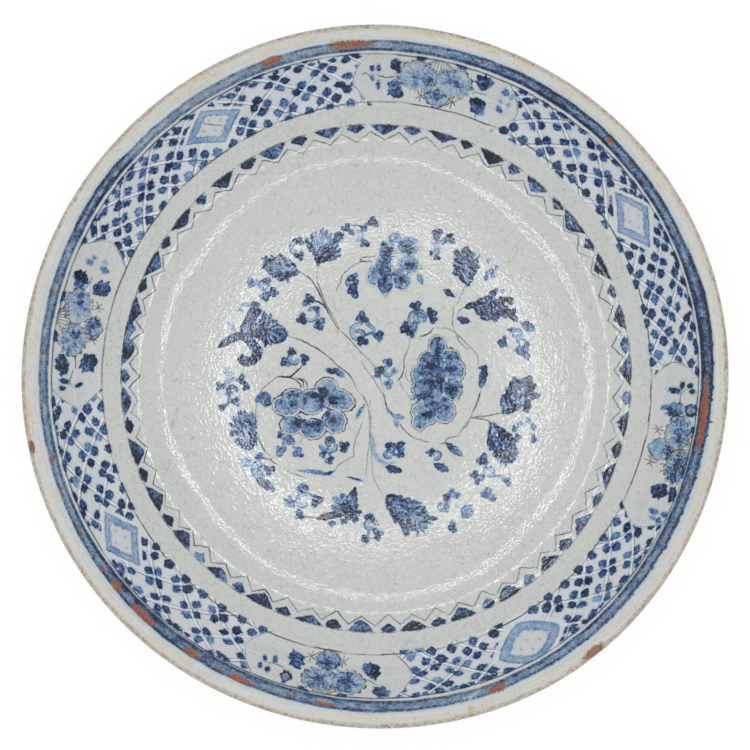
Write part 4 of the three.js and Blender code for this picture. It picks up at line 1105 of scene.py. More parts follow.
def paint_border(c, slant):
    """The trellis border on the wall: lozenges, reserves, the thin lines that close it and a painted
    highlight line.
    """
    rng = np.random.default_rng(7)
    plan = c.true_y + MID
    band = smooth((plan - 137.6) / 0.6)
    c.lift("pale", 0.45 * band)
    for stretch in TRELLIS:
        paint_trellis(c, slant, stretch, rng)
    for bearing, radius in LOZENGES:
        paint_lozenge(c, bearing, radius)
    for centre in RESERVES:
        paint_reserve(c, centre, rng)
    outside = (plan < 137.8) | (plan > 160.4)
    c.fade(0.9, outside, ("cobalt", "ink", "pale"))
    every = np.arange(c.x.size)
    foot = np.interp(c.true_x / ARC % 360, (0, 40, 90, 120, 190, 240, 300, 345, 360),
                     (0, 2.2, 1, -0.4, -0.5, 1.3, 1.1, -0.2, 0))
    low = 138.4 + foot + 0.42 * c.slow + 0.9 * bell(apart(c.true_x / ARC, RESERVES[3]), 9)
    c.lay(every, 0.34 - np.abs(plan - low), 0.9 * (1 - 0.55 * smooth(c.slow * 1.6 + 0.5 * c.rough + 0.2)),
          "ink", 0.3)
    c.lay(every, 0.32 - np.abs(plan - 160.1 - 0.2 * c.slow), 0.85 * (1 - 0.5 * smooth(c.slow * 1.4 + 0.1)),
          "ink", 0.3)
    # Painted highlight: a pale broken line along the throwing line, which also takes some cobalt away there.
    line = 0.8 * bell(plan - THROWING_LINE - 0.4 * c.slow, 0.35) * smooth(c.slow + 0.6 + 0.5 * c.rough)
    c.lift("pale", line)
    c.fade(0.3 * line, names=("cobalt",))
    paint_rim(c)


def paint_rim(c):
    """The dark band on the ridge, the pale lip outside it, stains, and the chips that bare the clay."""
    bearing = (c.true_x / ARC) % 360
    plan = c.true_y + MID
    at, *sides = np.array(BAND).T
    inner_at, outer_at, tone = (np.interp(bearing, at, side) for side in sides)
    streak = noise(c.cells * 0.5, plan * 1.3, 31) * 0.6 + noise(c.cells * 1.5, plan * 0.9, 32) * 0.4
    inner = smooth((plan - inner_at - 0.25 * c.slow) / 0.8 + 0.5)
    runny = np.interp(bearing, (0, 20, 285, 300, 348, 352, 360), (0.6, 0, 0, 0.8, 0.8, 2.4, 1.2))
    drip = np.maximum(0, noise(c.cells * 1.5, plan * 0, 33)) ** 2 * runny
    outer = smooth((outer_at + 0.3 * c.slow + drip - plan) / 1.1 + 0.5)
    lighter = bell(plan - (inner_at + outer_at) / 2 - 0.5 * streak, 1.2) * smooth(0.8 + 0.6 * c.slow)
    edges = bell(plan - inner_at - 0.7, 0.5) + bell(plan - outer_at + 0.8 - 0.6 * drip, 0.6)
    band = tone * (0.84 - 0.3 * lighter + 0.36 * edges) * (1 + 0.5 * streak + 0.1 * c.grain)
    c.lift("cobalt", band * inner * outer)
    c.lift("tan", 0.2 * inner * outer)
    c.lift("ink", (0.2 + 0.26 * edges * tone + 0.16 * streak) * inner * outer)
    rubbed = bell(bearing - 286.3, 1.7) * smooth(0.75 + 0.6 * c.rough + 0.5 * c.slow) * smooth(plan - 161.5)
    c.fade(0.6 * rubbed)
    spill = 0.1 * tone * smooth((plan - 161) / 1.6) * (1 - smooth((plan - 167.8) / 1.4))
    c.lift("cobalt", spill * (1 + 0.5 * streak))
    turned_line = noise(c.cells / 16, plan * 2.2, 34, 32) * 0.6 + noise(c.cells / 4, plan * 3, 35, 128) * 0.4
    lip = smooth((plan - outer_at - 0.3) / 1.2)
    c.lift("pale", lip * (0.22 + 0.4 * turned_line + 0.3 * bell(plan - outer_at - 1.4, 0.8)))
    thin = smooth((plan - 172 - 0.7 * c.slow) / 1.8)
    c.lift("tan", lip * (0.24 + 0.12 * c.slow - 0.2 * turned_line) + thin * (0.35 + 0.3 * c.rough))
    c.lift("ink", thin * (0.12 + 0.1 * c.rough) + lip * (0.02 + 0.05 * turned_line))
    c.lift("brown", thin * (0.34 + 0.5 * smooth(c.rough * 1.2 + 0.5 * turned_line)))
    for at, start, end, size in STAINS:
        away = np.abs(apart(bearing, at))
        patch = smooth(1.4 - away / size + 0.5 * c.slow) * smooth((plan - start) / 1.5)
        patch = patch * smooth(end + 1 - plan)
        blot = smooth(0.5 + 0.9 * noise(c.cells / 4, plan * 0.5, 36, 128) + 0.5 * c.rough)
        c.lift("tan", patch * blot)
    for at, radius, length, width in CHIPS:
        away = apart(bearing, at) * math.radians(1) * radius
        inside = np.hypot(away / (length / 2), (plan - radius) / (width / 2)) + 0.2 * c.rough + 0.26 * c.slow
        c.lift("clay", smooth((1.04 - inside) / 0.2) * (0.86 + 0.14 * c.rough))
        c.lift("brown", 0.62 * smooth((1.28 - inside) / 0.25))


# Meshes. On a mesh's map the first group of faces takes MAP_PART of each side, and the rest a small square.
MAP_PART = 0.96
REST_CORNER, REST_PART = 0.975, 0.02


def weave(rows, columns, start=0, wrap=True, flip=False, closed=False):
    """Quads between neighbouring points of a grid, as rows of four indices; wrap and closed join its ends."""
    index = np.arange(rows * columns).reshape(rows, columns) + start
    if closed:
        index = np.vstack([index, index[:1]])
    if wrap:
        index = np.hstack([index, index[:, :1]])
    a, b, c, d = index[:-1, :-1], index[1:, :-1], index[1:, 1:], index[:-1, 1:]
    quads = np.stack([a, b, c, d], -1).reshape(-1, 4)
    return quads[:, ::-1] if flip else quads


def hem(fine, coarse, step):
    """Triangles that join a fine edge to the coarse edge below it, which keeps each step-th point."""
    f = np.arange(len(fine) - 1)
    meets = np.minimum((f + step // 2) // step, len(coarse) - 1)
    upper = np.stack([fine[f + 1], fine[f], coarse[meets]], 1)
    c = np.arange(len(coarse) - 1)
    lower = np.stack([coarse[c], coarse[c + 1], fine[(c + 1) * step - step // 2]], 1)
    return np.vstack([upper, lower])


def make_mesh(name, points, groups, uv, normals=None, colours=None):
    """A mesh object from points in millimetres and groups of faces, of which the first holds quads."""
    mesh = bpy.data.meshes.new(name)
    mesh.vertices.add(len(points))
    mesh.vertices.foreach_set("co", (points * MM).astype(np.float32).ravel())
    loops = np.concatenate([g.ravel() for g in groups]).astype(np.int32)
    sizes = np.concatenate([np.full(len(g), g.shape[1]) for g in groups])
    mesh.loops.add(len(loops))
    mesh.loops.foreach_set("vertex_index", loops)
    mesh.polygons.add(len(sizes))
    mesh.polygons.foreach_set("loop_start", np.concatenate([[0], np.cumsum(sizes)[:-1]]).astype(np.int32))
    chart = uv[loops] * MAP_PART
    main = groups[0].size
    chart[main:] = REST_CORNER + REST_PART * uv[loops[main:]]
    corners = chart[:main].reshape(-1, 4, 2)
    broken = np.ptp(corners[..., 0], axis=1) > 0.5
    corners[broken, :, 0] = np.where(corners[broken, :, 0] < 0.3, MAP_PART, corners[broken, :, 0])
    chart[:main] = corners.reshape(-1, 2)
    mesh.uv_layers.new(name="OFBake").data.foreach_set("uv", chart.astype(np.float32).ravel())
    for layer, values in (colours or {}).items():
        attribute = mesh.attributes.new(layer, "FLOAT_COLOR", "POINT")
        attribute.data.foreach_set("color", values.astype(np.float32).ravel())
    mesh.update(calc_edges=True)
    mesh.shade_smooth()
    if normals is not None:
        mesh.normals_split_custom_set_from_vertices(normals.astype(np.float32))
    mesh.validate()
    piece = bpy.data.objects.new(name, mesh)
    bpy.context.scene.collection.objects.link(piece)
    return piece


def shell(name, place, u, v, wrap, steps, thickness, layers, nudge=None):
    """A coat of even thickness: a fine face, a back that keeps each step-th point, and hems between them.

    place(u, v, drop) gives the points of the surface, lowered by drop. The face's normals come from the same
    surface, from points that lie nudge to either side.
    """
    face = place(u, v, 0.0)
    rows, columns = face.shape[:2]
    eu, ev = nudge or ((u[-1, 0] - u[0, 0]) * 2e-4, (v[0, -1] - v[0, 0]) * 2e-4)
    along = place(u + eu, v, 0.0) - place(u - eu, v, 0.0)
    across = place(u, v + ev, 0.0) - place(u, v - ev, 0.0)
    normal = unit(np.cross(along, across))
    su, sv = steps
    kept = np.ix_(np.arange(0, rows, su), np.arange(0, columns, sv))
    under = place(u[kept], v[kept], thickness)
    points = np.vstack([face.reshape(-1, 3), under.reshape(-1, 3)])
    normals = np.vstack([normal.reshape(-1, 3), -normal[kept].reshape(-1, 3)])
    top = np.arange(rows * columns).reshape(rows, columns)
    low = np.arange(under.shape[0] * under.shape[1]).reshape(under.shape[:2]) + top.size
    hems = []
    if wrap:
        around = np.hstack([top, top[:, :1]]), np.hstack([low, low[:, :1]])
        hems.append(hem(around[0][-1], around[1][-1], sv))
        hems.append(hem(around[0][0][::-1], around[1][0][::-1], sv))
    else:
        hems.append(hem(top[:, 0], low[:, 0], su))
        hems.append(hem(top[-1], low[-1], sv))
        hems.append(hem(top[::-1, -1], low[::-1, -1], su))
        hems.append(hem(top[0, ::-1], low[0, ::-1], sv))
    groups = [weave(rows, columns, 0, wrap), weave(*under.shape[:2], top.size, wrap, flip=True),
              np.vstack(hems)]
    fine = [np.concatenate([layer, layer.reshape(rows, columns)[kept].ravel()]) for layer in layers]
    zero = np.zeros_like(fine[0])
    colours = {"paint": np.stack(fine[:4], 1), "wear": np.stack([fine[4], fine[5], zero, zero + 1], 1)}
    a = np.linspace(0, 1, rows)[:, None] + np.zeros((1, columns))
    b = np.zeros((rows, 1)) + np.linspace(0, 1, columns, endpoint=not wrap)
    flat = np.stack([b, a], -1)
    uv = np.vstack([flat.reshape(-1, 2), flat[kept].reshape(-1, 2)])
    return make_mesh(name, points, groups, uv, normals, colours)


def turned(name, section, form, around, closed):
    """A surface of revolution from a section of radius and height; closed joins its end to its start.

    If it isn't closed, its ends lie on the axis, and each becomes one point with a ring of triangles.
    """
    section = np.asarray(section, float)
    bearing = np.arange(around) * 360 / around
    body = section if closed else section[section[:, 0] > 1e-6]
    r, turn = form.swell(bearing[None], body[:, :1]), np.radians(bearing)[None]
    ring = np.stack([r * np.cos(turn), r * np.sin(turn), body[:, 1:] + 0 * turn], -1)
    points = ring.reshape(-1, 3)
    rows = len(body)
    groups, extra = [weave(rows, around, closed=closed)], np.zeros((0, 3))
    if not closed:
        extra = np.array([[0, 0, section[0, 1]], [0, 0, section[-1, 1]]])
        first, last = np.arange(around), np.arange(around) + (rows - 1) * around
        start = np.stack([np.full(around, len(points)), first, np.roll(first, -1)], 1)
        end = np.stack([np.full(around, len(points) + 1), np.roll(last, -1), last], 1)
        groups += [start, end]
    run = np.concatenate([[0], np.cumsum(np.hypot(*np.diff(body, axis=0).T))])
    uv = np.stack(np.broadcast_arrays(bearing / 360, (run / run[-1])[:, None]), -1)
    uv = np.vstack([uv.reshape(-1, 2), np.zeros((len(extra), 2))])
    return make_mesh(name, np.vstack([points, extra]), groups, uv)


# Materials.
class Shade:
    """A short way to lay out the nodes of a material or a world."""

    def __init__(self, owner):
        owner.use_nodes = True
        self.owner, self.tree = owner, owner.node_tree
        self.surface, self.output = self.tree.links[0].from_node, self.tree.links[0].to_node

    def node(self, kind, inputs=None, **settings):
        node = self.tree.nodes.new(kind)
        for key, value in settings.items():
            setattr(node, key, value)
        for key, value in (inputs or {}).items():
            self.set(node.inputs[key], value)
        return node

    def set(self, socket, value):
        """Links a node's output to a socket, or gives it a plain value."""
        if isinstance(value, bpy.types.NodeSocket):
            self.tree.links.new(value, socket)
        else:
            socket.default_value = value

    def look(self, **values):
        """Sets the surface's inputs, named with _ for a space."""
        for name, value in values.items():
            self.set(self.surface.inputs[name.replace("_", " ")], value)

    def math(self, operation, a, b):
        return self.node("ShaderNodeMath", {0: a, 1: b}, operation=operation).outputs[0]

    def plus(self, a, b):
        return self.math("ADD", a, b)

    def times(self, a, b):
        return self.math("MULTIPLY", a, b)

    def in_sight(self):
        """1 for what the camera sees, straight, in a reflection or through glass."""
        path = self.node("ShaderNodeLightPath").outputs
        rest = self.math("MAXIMUM", path["Is Glossy Ray"], path["Is Transmission Ray"])
        return self.math("MAXIMUM", path["Is Camera Ray"], rest)

    def show(self, factor, other):
        """Mixes another shader into the surface by a factor."""
        both = self.node("ShaderNodeMixShader", {0: factor, 1: self.surface.outputs[0], 2: other}).outputs[0]
        self.set(self.output.inputs["Surface"], both)

    def cells(self, place, scale, feature="F1"):
        return self.node("ShaderNodeTexVoronoi", {"Vector": place, "Scale": scale}, feature=feature).outputs

    def mix(self, factor, a, b, blend="MIX"):
        """One colour mixed into another by a factor."""
        node = self.node("ShaderNodeMix", None, data_type="RGBA", blend_type=blend, clamp_factor=True)
        self.set(node.inputs[0], factor)
        self.set(node.inputs[6], a)
        self.set(node.inputs[7], b)
        return node.outputs[2]

    def span(self, value, low, high, to_low=0.0, to_high=1.0):
        """A value carried from one range to another, flat at both ends."""
        node = self.node("ShaderNodeMapRange", {0: value, 1: low, 2: high, 3: to_low, 4: to_high})
        node.interpolation_type = "SMOOTHSTEP"
        return node.outputs[0]

    def millimetres(self):
        """The place on the piece, in millimetres."""
        place = self.node("ShaderNodeTexCoord").outputs["Object"]
        return self.node("ShaderNodeVectorMath", {0: place, "Scale": 1000.0}, operation="SCALE").outputs[0]

    def noise(self, place, size, detail, rough=0.5):
        """Noise from 0 to 1 whose features are about size millimetres."""
        return self.node("ShaderNodeTexNoise", {"Vector": place, "Scale": 1 / size, "Detail": detail,
                                                "Roughness": rough}).outputs[0]

    def turned_noise(self, place, wide, long):
        """Noise drawn out round the axis: its features are wide across, and long at a radius of 100 mm."""
        split = self.node("ShaderNodeSeparateXYZ", {0: place}).outputs
        flat = self.node("ShaderNodeCombineXYZ", {0: split[0], 1: split[1]}).outputs[0]
        radius = self.node("ShaderNodeVectorMath", {0: flat}, operation="LENGTH").outputs["Value"]
        way = self.node("ShaderNodeVectorMath", {0: flat}, operation="NORMALIZE").outputs[0]
        way = self.node("ShaderNodeVectorMath", {0: way, "Scale": 100 / long}, operation="SCALE").outputs[0]
        split = self.node("ShaderNodeSeparateXYZ", {0: way}).outputs
        turned = {0: self.math("DIVIDE", radius, wide), 1: split[0], 2: split[1]}
        return self.noise(self.node("ShaderNodeCombineXYZ", turned).outputs[0], 1.0, 0.0)

    def ramp(self, value, stops):
        """A colour for a value, between stops."""
        node = self.node("ShaderNodeValToRGB", {0: value})
        points = node.color_ramp.elements
        while len(points) < len(stops):
            points.new(0.5)
        for point, (place, colour) in zip(points, stops):
            point.position = place
            point.color = (*colour, 1)
        return node.outputs[0]

    def bump(self, height, depth):
        """Relief depth in millimetres for a height from 0 to 1."""
        return self.node("ShaderNodeBump", {"Height": height, "Distance": depth * MM,
                                            "Strength": 1.0}).outputs[0]


def glaze_look(shade, place, colour, crackle_size, crackle_depth):
    """The colour of bare tin glaze, cloudy, with fine cracks and dark pinholes. Returns it and the cracks."""
    cloud = shade.noise(place, 38, 3)
    fine = shade.noise(place, 1.5, 3, 0.7)
    tone = shade.plus(shade.span(cloud, 0.3, 0.7, -0.012, 0.012), shade.span(fine, 0.3, 0.7, -0.055, 0.055))
    grey = shade.node("ShaderNodeCombineColor", {k: shade.plus(tone, 1.0) for k in range(3)}).outputs[0]
    base = shade.mix(1.0, colour, grey, "MULTIPLY")
    shift = shade.node("ShaderNodeTexNoise", {"Vector": place, "Scale": 0.35, "Detail": 2.0}).outputs[1]
    bent = shade.node("ShaderNodeVectorMath", {0: place, 1: shift}, operation="ADD").outputs[0]
    lines = []
    for size, width, weight in ((crackle_size, 0.032, 1.0), (crackle_size * 0.46, 0.035, 0.5)):
        cell = shade.cells(bent, 1 / size, "DISTANCE_TO_EDGE")[0]
        seen = shade.span(shade.noise(place, size * 1.7, 2), 0.36, 0.56)
        lines.append(shade.times(shade.times(shade.span(cell, 0.004, width, 1.0, 0.0), seen), weight))
    cracks = shade.math("MAXIMUM", lines[0], lines[1])
    base = shade.mix(shade.times(cracks, crackle_depth), base, (0.2, 0.2, 0.18, 1))
    holes = shade.cells(place, 0.42)
    picked = shade.span(shade.node("ShaderNodeSeparateColor", {0: holes["Color"]}).outputs[0], 0.72, 0.78)
    spot = shade.times(shade.span(holes["Distance"], 0.07, 0.16, 1.0, 0.0), picked)
    base = shade.mix(shade.times(spot, 0.45), base, (0.16, 0.15, 0.13, 1))
    return base, cracks


def painted_glaze(colours):
    """Glaze with the cobalt, ink, stains and chips of the painted layers; thicker colour is darker."""
    shade = Shade(bpy.data.materials.new("painted_glaze"))
    place = shade.millimetres()
    base, cracks = glaze_look(shade, place, (*colours.glaze, 1), 3.9, 0.4)
    paint = shade.node("ShaderNodeAttribute", attribute_name="paint")
    wear = shade.node("ShaderNodeAttribute", attribute_name="wear")
    split = shade.node("ShaderNodeSeparateColor", {0: paint.outputs["Color"]}).outputs
    worn = shade.node("ShaderNodeSeparateColor", {0: wear.outputs["Color"]}).outputs
    # The pale layer: thick glaze round the painting, and also the painted highlight line along the throwing
    # line.
    base = shade.mix(split[2], base, (*colours.thick_glaze_and_highlight, 1))
    base = shade.mix(shade.times(paint.outputs["Alpha"], 0.9), base, (*colours.stain, 1), "MULTIPLY")
    grain = shade.plus(shade.span(shade.noise(place, 1.2, 4, 0.75), 0.32, 0.68, -0.44, 0.44),
                       shade.span(shade.noise(place, 3.4, 2), 0.3, 0.7, -0.14, 0.14))
    thick = shade.times(split[0], shade.plus(grain, 1.0))
    film = shade.ramp(shade.math("DIVIDE", thick, 1.36), (
        (0.0, (1, 1, 1)), (0.12, (0.66, 0.78, 0.92)), (0.22, colours.pale_blue), (0.34, (0.21, 0.38, 0.69)),
        (0.46, colours.mid_blue), (0.58, (0.046, 0.09, 0.245)), (0.74, colours.dark_blue),
        (1.0, (0.01, 0.014, 0.03))))
    base = shade.mix(1.0, base, film, "MULTIPLY")
    flecks = shade.times(shade.span(shade.noise(place, 0.8, 2), 0.6, 0.68), shade.span(split[0], 0.85, 1.1))
    base = shade.mix(shade.times(flecks, 0.26), base, (0.12, 0.12, 0.21, 1))
    base = shade.mix(split[1], base, (*colours.ink, 1))
    speck = shade.times(worn[1], shade.span(shade.noise(place, 1.1, 3), 0.35, 0.62))
    base = shade.mix(speck, base, (*colours.bare_edge, 1))
    clay = shade.ramp(shade.noise(place, 1.4, 4, 0.65), ((0.36, colours.clay_dark), (0.52, (0.3, 0.1, 0.05)),
                                                         (0.72, colours.clay_light)))
    base = shade.mix(worn[0], base, clay)
    peel = shade.plus(shade.turned_noise(place, 1.5, 3), shade.times(shade.noise(place, 1.3, 0), 0.8))
    peel = shade.plus(peel, shade.times(shade.noise(place, 8, 0), 1.7))
    shade.look(Base_Color=base)
    gloss = shade.span(shade.noise(place, 9, 3), 0.3, 0.7, 0.028, 0.04)
    shade.look(Roughness=shade.plus(gloss, shade.times(worn[0], 0.6)))
    shade.look(Specular_IOR_Level=0.36)
    relief = shade.math("SUBTRACT", peel, shade.times(cracks, 0.12))
    shade.look(Normal=shade.bump(relief, 0.015))
    return shade.owner


def plain_glaze(name, colours):
    """The plainer glaze of the back: tan patches, rust-coloured pits and a faint net of cracks."""
    shade = Shade(bpy.data.materials.new(name))
    place = shade.millimetres()
    base = glaze_look(shade, place, (*colours.back, 1), 8, 0.22)[0]
    patches = shade.span(shade.noise(place, 30, 4, 0.6), 0.52, 0.75, 0.0, 0.55)
    base = shade.mix(patches, base, (*colours.back_stain, 1), "MULTIPLY")
    pits = shade.cells(place, 0.16)
    picked = shade.span(shade.node("ShaderNodeSeparateColor", {0: pits["Color"]}).outputs[1], 0.75, 0.8)
    spot = shade.times(shade.span(pits["Distance"], 0.05, 0.11, 1.0, 0.0), picked)
    base = shade.mix(shade.times(spot, 0.75), base, (0.2, 0.09, 0.045, 1))
    shade.look(Base_Color=base)
    shade.look(Roughness=shade.span(shade.noise(place, 12, 3), 0.3, 0.7, 0.22, 0.36))
    shade.look(Normal=shade.bump(shade.noise(place, 4, 3), 0.05))
    return shade.owner


def bare_clay(colours):
    """Fired clay: mottled orange brown with darker grit."""
    shade = Shade(bpy.data.materials.new("bare_clay"))
    place = shade.millimetres()
    base = shade.ramp(shade.noise(place, 2.5, 5, 0.65), ((0.3, colours.clay_dark), (0.5, colours.clay),
                                                         (0.75, colours.clay_light)))
    grit = shade.span(shade.noise(place, 0.7, 2), 0.62, 0.7, 0.0, 0.5)
    base = shade.mix(grit, base, (0.12, 0.06, 0.035, 1))
    shade.look(Base_Color=base)
    shade.look(Roughness=0.85)
    shade.look(Normal=shade.bump(shade.noise(place, 1.2, 4, 0.7), 0.12))
    return shade.owner


def length(text, value):
    """A size that the panel shows."""
    return bpy.props.FloatProperty(name=text, description=text + " of the dish", default=value, min=0.0,
                                   max=1.0, subtype="DISTANCE", unit="LENGTH", precision=4)


def tint(text, value):
    """A colour that the panel shows."""
    return bpy.props.FloatVectorProperty(name=text, description=text + " as linear red, green and blue",
                                         default=value, size=3, min=0.0, max=1.0, subtype="COLOR")


class DishSizes(bpy.types.PropertyGroup):
    radius: length("Outer radius", 0.175)
    crest_radius: length("Radius of the ridge inside the lip", 0.1648)
    crest_height: length("Height of the ridge", 0.0482)
    edge_height: length("Height of the outermost edge", 0.0418)
    wall_foot: length("Radius of the wall's foot", 0.1298)
    floor_height: length("Height of the wall's foot", 0.0148)
    glaze: length("Thickness of the glaze", 0.0005)
    foot_radius: length("Radius of the foot ring", 0.101)
    foot_width: length("Width of the foot ring", 0.0075)
    back_height: length("Height of the underside", 0.0056)


class DishColours(bpy.types.PropertyGroup):
    glaze: tint("Tin glaze", (0.604, 0.62, 0.598))
    # Also the colour of the painted highlight line on the wall.
    thick_glaze_and_highlight: tint("Thick glaze round the painting", (0.74, 0.77, 0.81))
    stain: tint("Tan stain", (0.93, 0.76, 0.5))
    pale_blue: tint("Thin cobalt", (0.42, 0.58, 0.84))
    mid_blue: tint("Middling cobalt", (0.107, 0.203, 0.465))
    dark_blue: tint("Thick cobalt", (0.012, 0.026, 0.076))
    ink: tint("Outlines", (0.02, 0.024, 0.036))
    bare_edge: tint("Brown of the worn edge", (0.22, 0.15, 0.12))
    clay: tint("Clay", (0.371, 0.102, 0.045))
    clay_dark: tint("Dark clay", (0.15, 0.05, 0.03))
    clay_light: tint("Light clay", (0.42, 0.15, 0.08))
    back: tint("Back glaze", (0.565, 0.558, 0.491))
    back_stain: tint("Stain on the back", (0.8, 0.66, 0.45))


def as_piece(piece, material, node):
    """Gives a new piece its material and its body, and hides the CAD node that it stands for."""
    piece.data.materials.append(material)
    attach(piece, "root")
    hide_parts(node)


def glaze_material(context):
    found = bpy.data.materials.get("painted_glaze")
    return found or painted_glaze(context.scene.dish_colours)


def ring_pieces(context, form, name, low, high, rows, first, last, columns, steps, paint):
    """A band of the face between two radii and two bearings, painted in bearing and plan radius."""
    wrap = last - first >= 360
    low_s, high_s = (form.face.where(r) if r < EDGE else form.face.s[-1] for r in (low, high))
    s = np.linspace(low_s, high_s, rows + 1)
    bearing = np.linspace(first, last, columns + (not wrap), endpoint=not wrap)
    u, v = np.meshgrid(s, bearing, indexing="ij")
    r = form.face.at(u)[0]
    canvas = Canvas(v * ARC, r if paint is paint_zigzag else r - MID, 360 * ARC)
    if paint is paint_border:
        paint(canvas, Slant(form, r.ravel()))
    elif paint:
        paint(canvas)
    piece = shell(name, lambda a, b, drop: form.face_at(b, a, drop), u, v, wrap, steps, form.glaze,
                  [canvas.layers[k] for k in LAYERS])
    as_piece(piece, glaze_material(context), "face_glaze")


def quarters(context, form, name, low, high, rows, columns, paint):
    """A band of the face in four pieces."""
    for k in range(4):
        first = FIRST_SEAM + 90 * k
        ring_pieces(context, form, f"{name}{k + 1}", low, high, rows, first, first + 90, columns, (4, 8),
                    paint)


class DISH_OT_well(bpy.types.Operator):
    """Lays the painted glaze of the well's floor: four quarters of a disc and a plain ring round them"""

    bl_idname = "dish.well"
    bl_label = "Well"

    def execute(self, context):
        form = Form(context.scene.dish_sizes)
        cells = 300
        for k, side in enumerate(("east", "north", "west", "south")):
            a, b = np.meshgrid(*[np.linspace(0, 1, cells + 1)] * 2, indexing="ij")
            big = np.maximum(a, b)
            share = np.where(a >= b, b / np.maximum(a, 1e-9), 2 - a / np.maximum(b, 1e-9))
            angle = np.radians(90 * k + 45 * share)
            x, y = WELL * big * np.cos(angle), WELL * big * np.sin(angle)
            canvas = Canvas(x, y)
            paint_medallion(canvas)
            piece = shell("glaze_well_" + side, form.plan_at, x, y, False, (8, 8), form.glaze,
                          [canvas.layers[name] for name in LAYERS], (0.2, 0.2))
            as_piece(piece, glaze_material(context), "face_glaze")
        ring_pieces(context, form, "glaze_floor_ring", WELL, FLOOR, 24, 0, 360, 720, (4, 4), None)
        return {"FINISHED"}


class DISH_OT_bands(bpy.types.Operator):
    """Lays the zigzag band round the floor and the plain band at the wall's foot"""

    bl_idname = "dish.bands"
    bl_label = "Zigzag and plain band"

    def execute(self, context):
        form = Form(context.scene.dish_sizes)
        rows, columns = ((32, 2016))
        ring_pieces(context, form, "glaze_zigzag_band", FLOOR, FOOT, rows, 0, 360, columns, (4, 8),
                    paint_zigzag)
        ring_pieces(context, form, "glaze_plain_band", FOOT, WALL, 12, 0, 360, 720, (2, 4), None)
        return {"FINISHED"}


class DISH_OT_border(bpy.types.Operator):
    """Lays the trellis border of the wall in four quarters"""

    bl_idname = "dish.border"
    bl_label = "Trellis border"

    def execute(self, context):
        form = Form(context.scene.dish_sizes)
        rows, columns = ((96, 656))
        quarters(context, form, "glaze_border_", WALL, RIDGE, rows, columns, paint_border)
        return {"FINISHED"}


class DISH_OT_rim(bpy.types.Operator):
    """Lays the ridge and the lip with their band, stains and chips in four quarters"""

    bl_idname = "dish.rim"
    bl_label = "Ridge and lip"

    def execute(self, context):
        form = Form(context.scene.dish_sizes)
        rows, columns = ((52, 704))
        quarters(context, form, "glaze_rim_", RIDGE, EDGE, rows, columns, paint_rim)
        return {"FINISHED"}


class DISH_OT_back(bpy.types.Operator):
    """Lays the glaze of the back and the glaze inside the foot ring"""

    bl_idname = "dish.back"
    bl_label = "Back and recess"

    def execute(self, context):
        form, colours = Form(context.scene.dish_sizes), context.scene.dish_colours
        outer, inner = form.back.inset(84, 0), form.back.inset(84, form.glaze)
        back = turned("glaze_back", np.vstack([outer, inner[::-1]]), form, 300, True)
        as_piece(back, plain_glaze("glaze_back", colours), "back_glaze")
        outer, inner = form.recess.inset(44, 0), form.recess.inset(44, form.glaze)
        inner[-1, 0] = outer[-1, 0] = 0
        recess = turned("glaze_recess", np.vstack([outer[::-1], inner]), form, 240, False)
        as_piece(recess, plain_glaze("glaze_recess", colours), "recess_glaze")
        return {"FINISHED"}


# How deep the clay lies under the outside of its coats, in millimetres.
UNDER_FACE, UNDER_BACK = 1.4, 0.75


class DISH_OT_body(bpy.types.Operator):
    """Turns the clay between the two coats, with its bare foot ring"""

    bl_idname = "dish.body"
    bl_label = "Clay body"

    def execute(self, context):
        form = Form(context.scene.dish_sizes)
        upper = form.face.inset(84, UNDER_FACE)
        lower = form.back.inset(60, UNDER_BACK)
        under = form.recess.inset(34, UNDER_BACK)
        ring = [(form.ring_r + 0.35, 0.9), (form.ring_r - 0.2, 0.25), (form.ring_r - 0.9, 0),
                (form.ring_in + 0.9, 0), (form.ring_in + 0.2, 0.25), (form.ring_in - 0.4, 0.9)]
        upper[0, 0] = under[-1, 0] = 0
        piece = turned("clay_body", np.vstack([upper[:-3], lower[6:], ring, under]), form, 240, False)
        as_piece(piece, bare_clay(context.scene.dish_colours), "earthenware_body")
        return {"FINISHED"}


# The stage, in metres: the camera, and the ring of lamps just under the lens that the glaze mirrors.
EYE = Vector((0.029, -0.0645, 1.5482))
LOOKED_AT = Vector((0, 0.00025, 0.0445))
SENSOR, FOCAL_LENGTH = 36, 145.95  # millimetres
RING_CENTRE = Vector((-0.024, 0.0565, 1.5))
RING_RADIUS = 0.149
LAMPS = 24
LAMP_SIZE = (0.019, 0.039)
LAMP_POWER = 0.025
# Bearings round the ring, and the share of that power that a lamp has there.
LAMP_SHARES = ((0, 20, 60, 100, 130, 160, 200, 230, 270, 310, 340, 360),
               (1.1, 1.1, 1, 0.75, 1, 1.2, 1.3, 1.3, 0.75, 1.1, 1.2, 1.1))


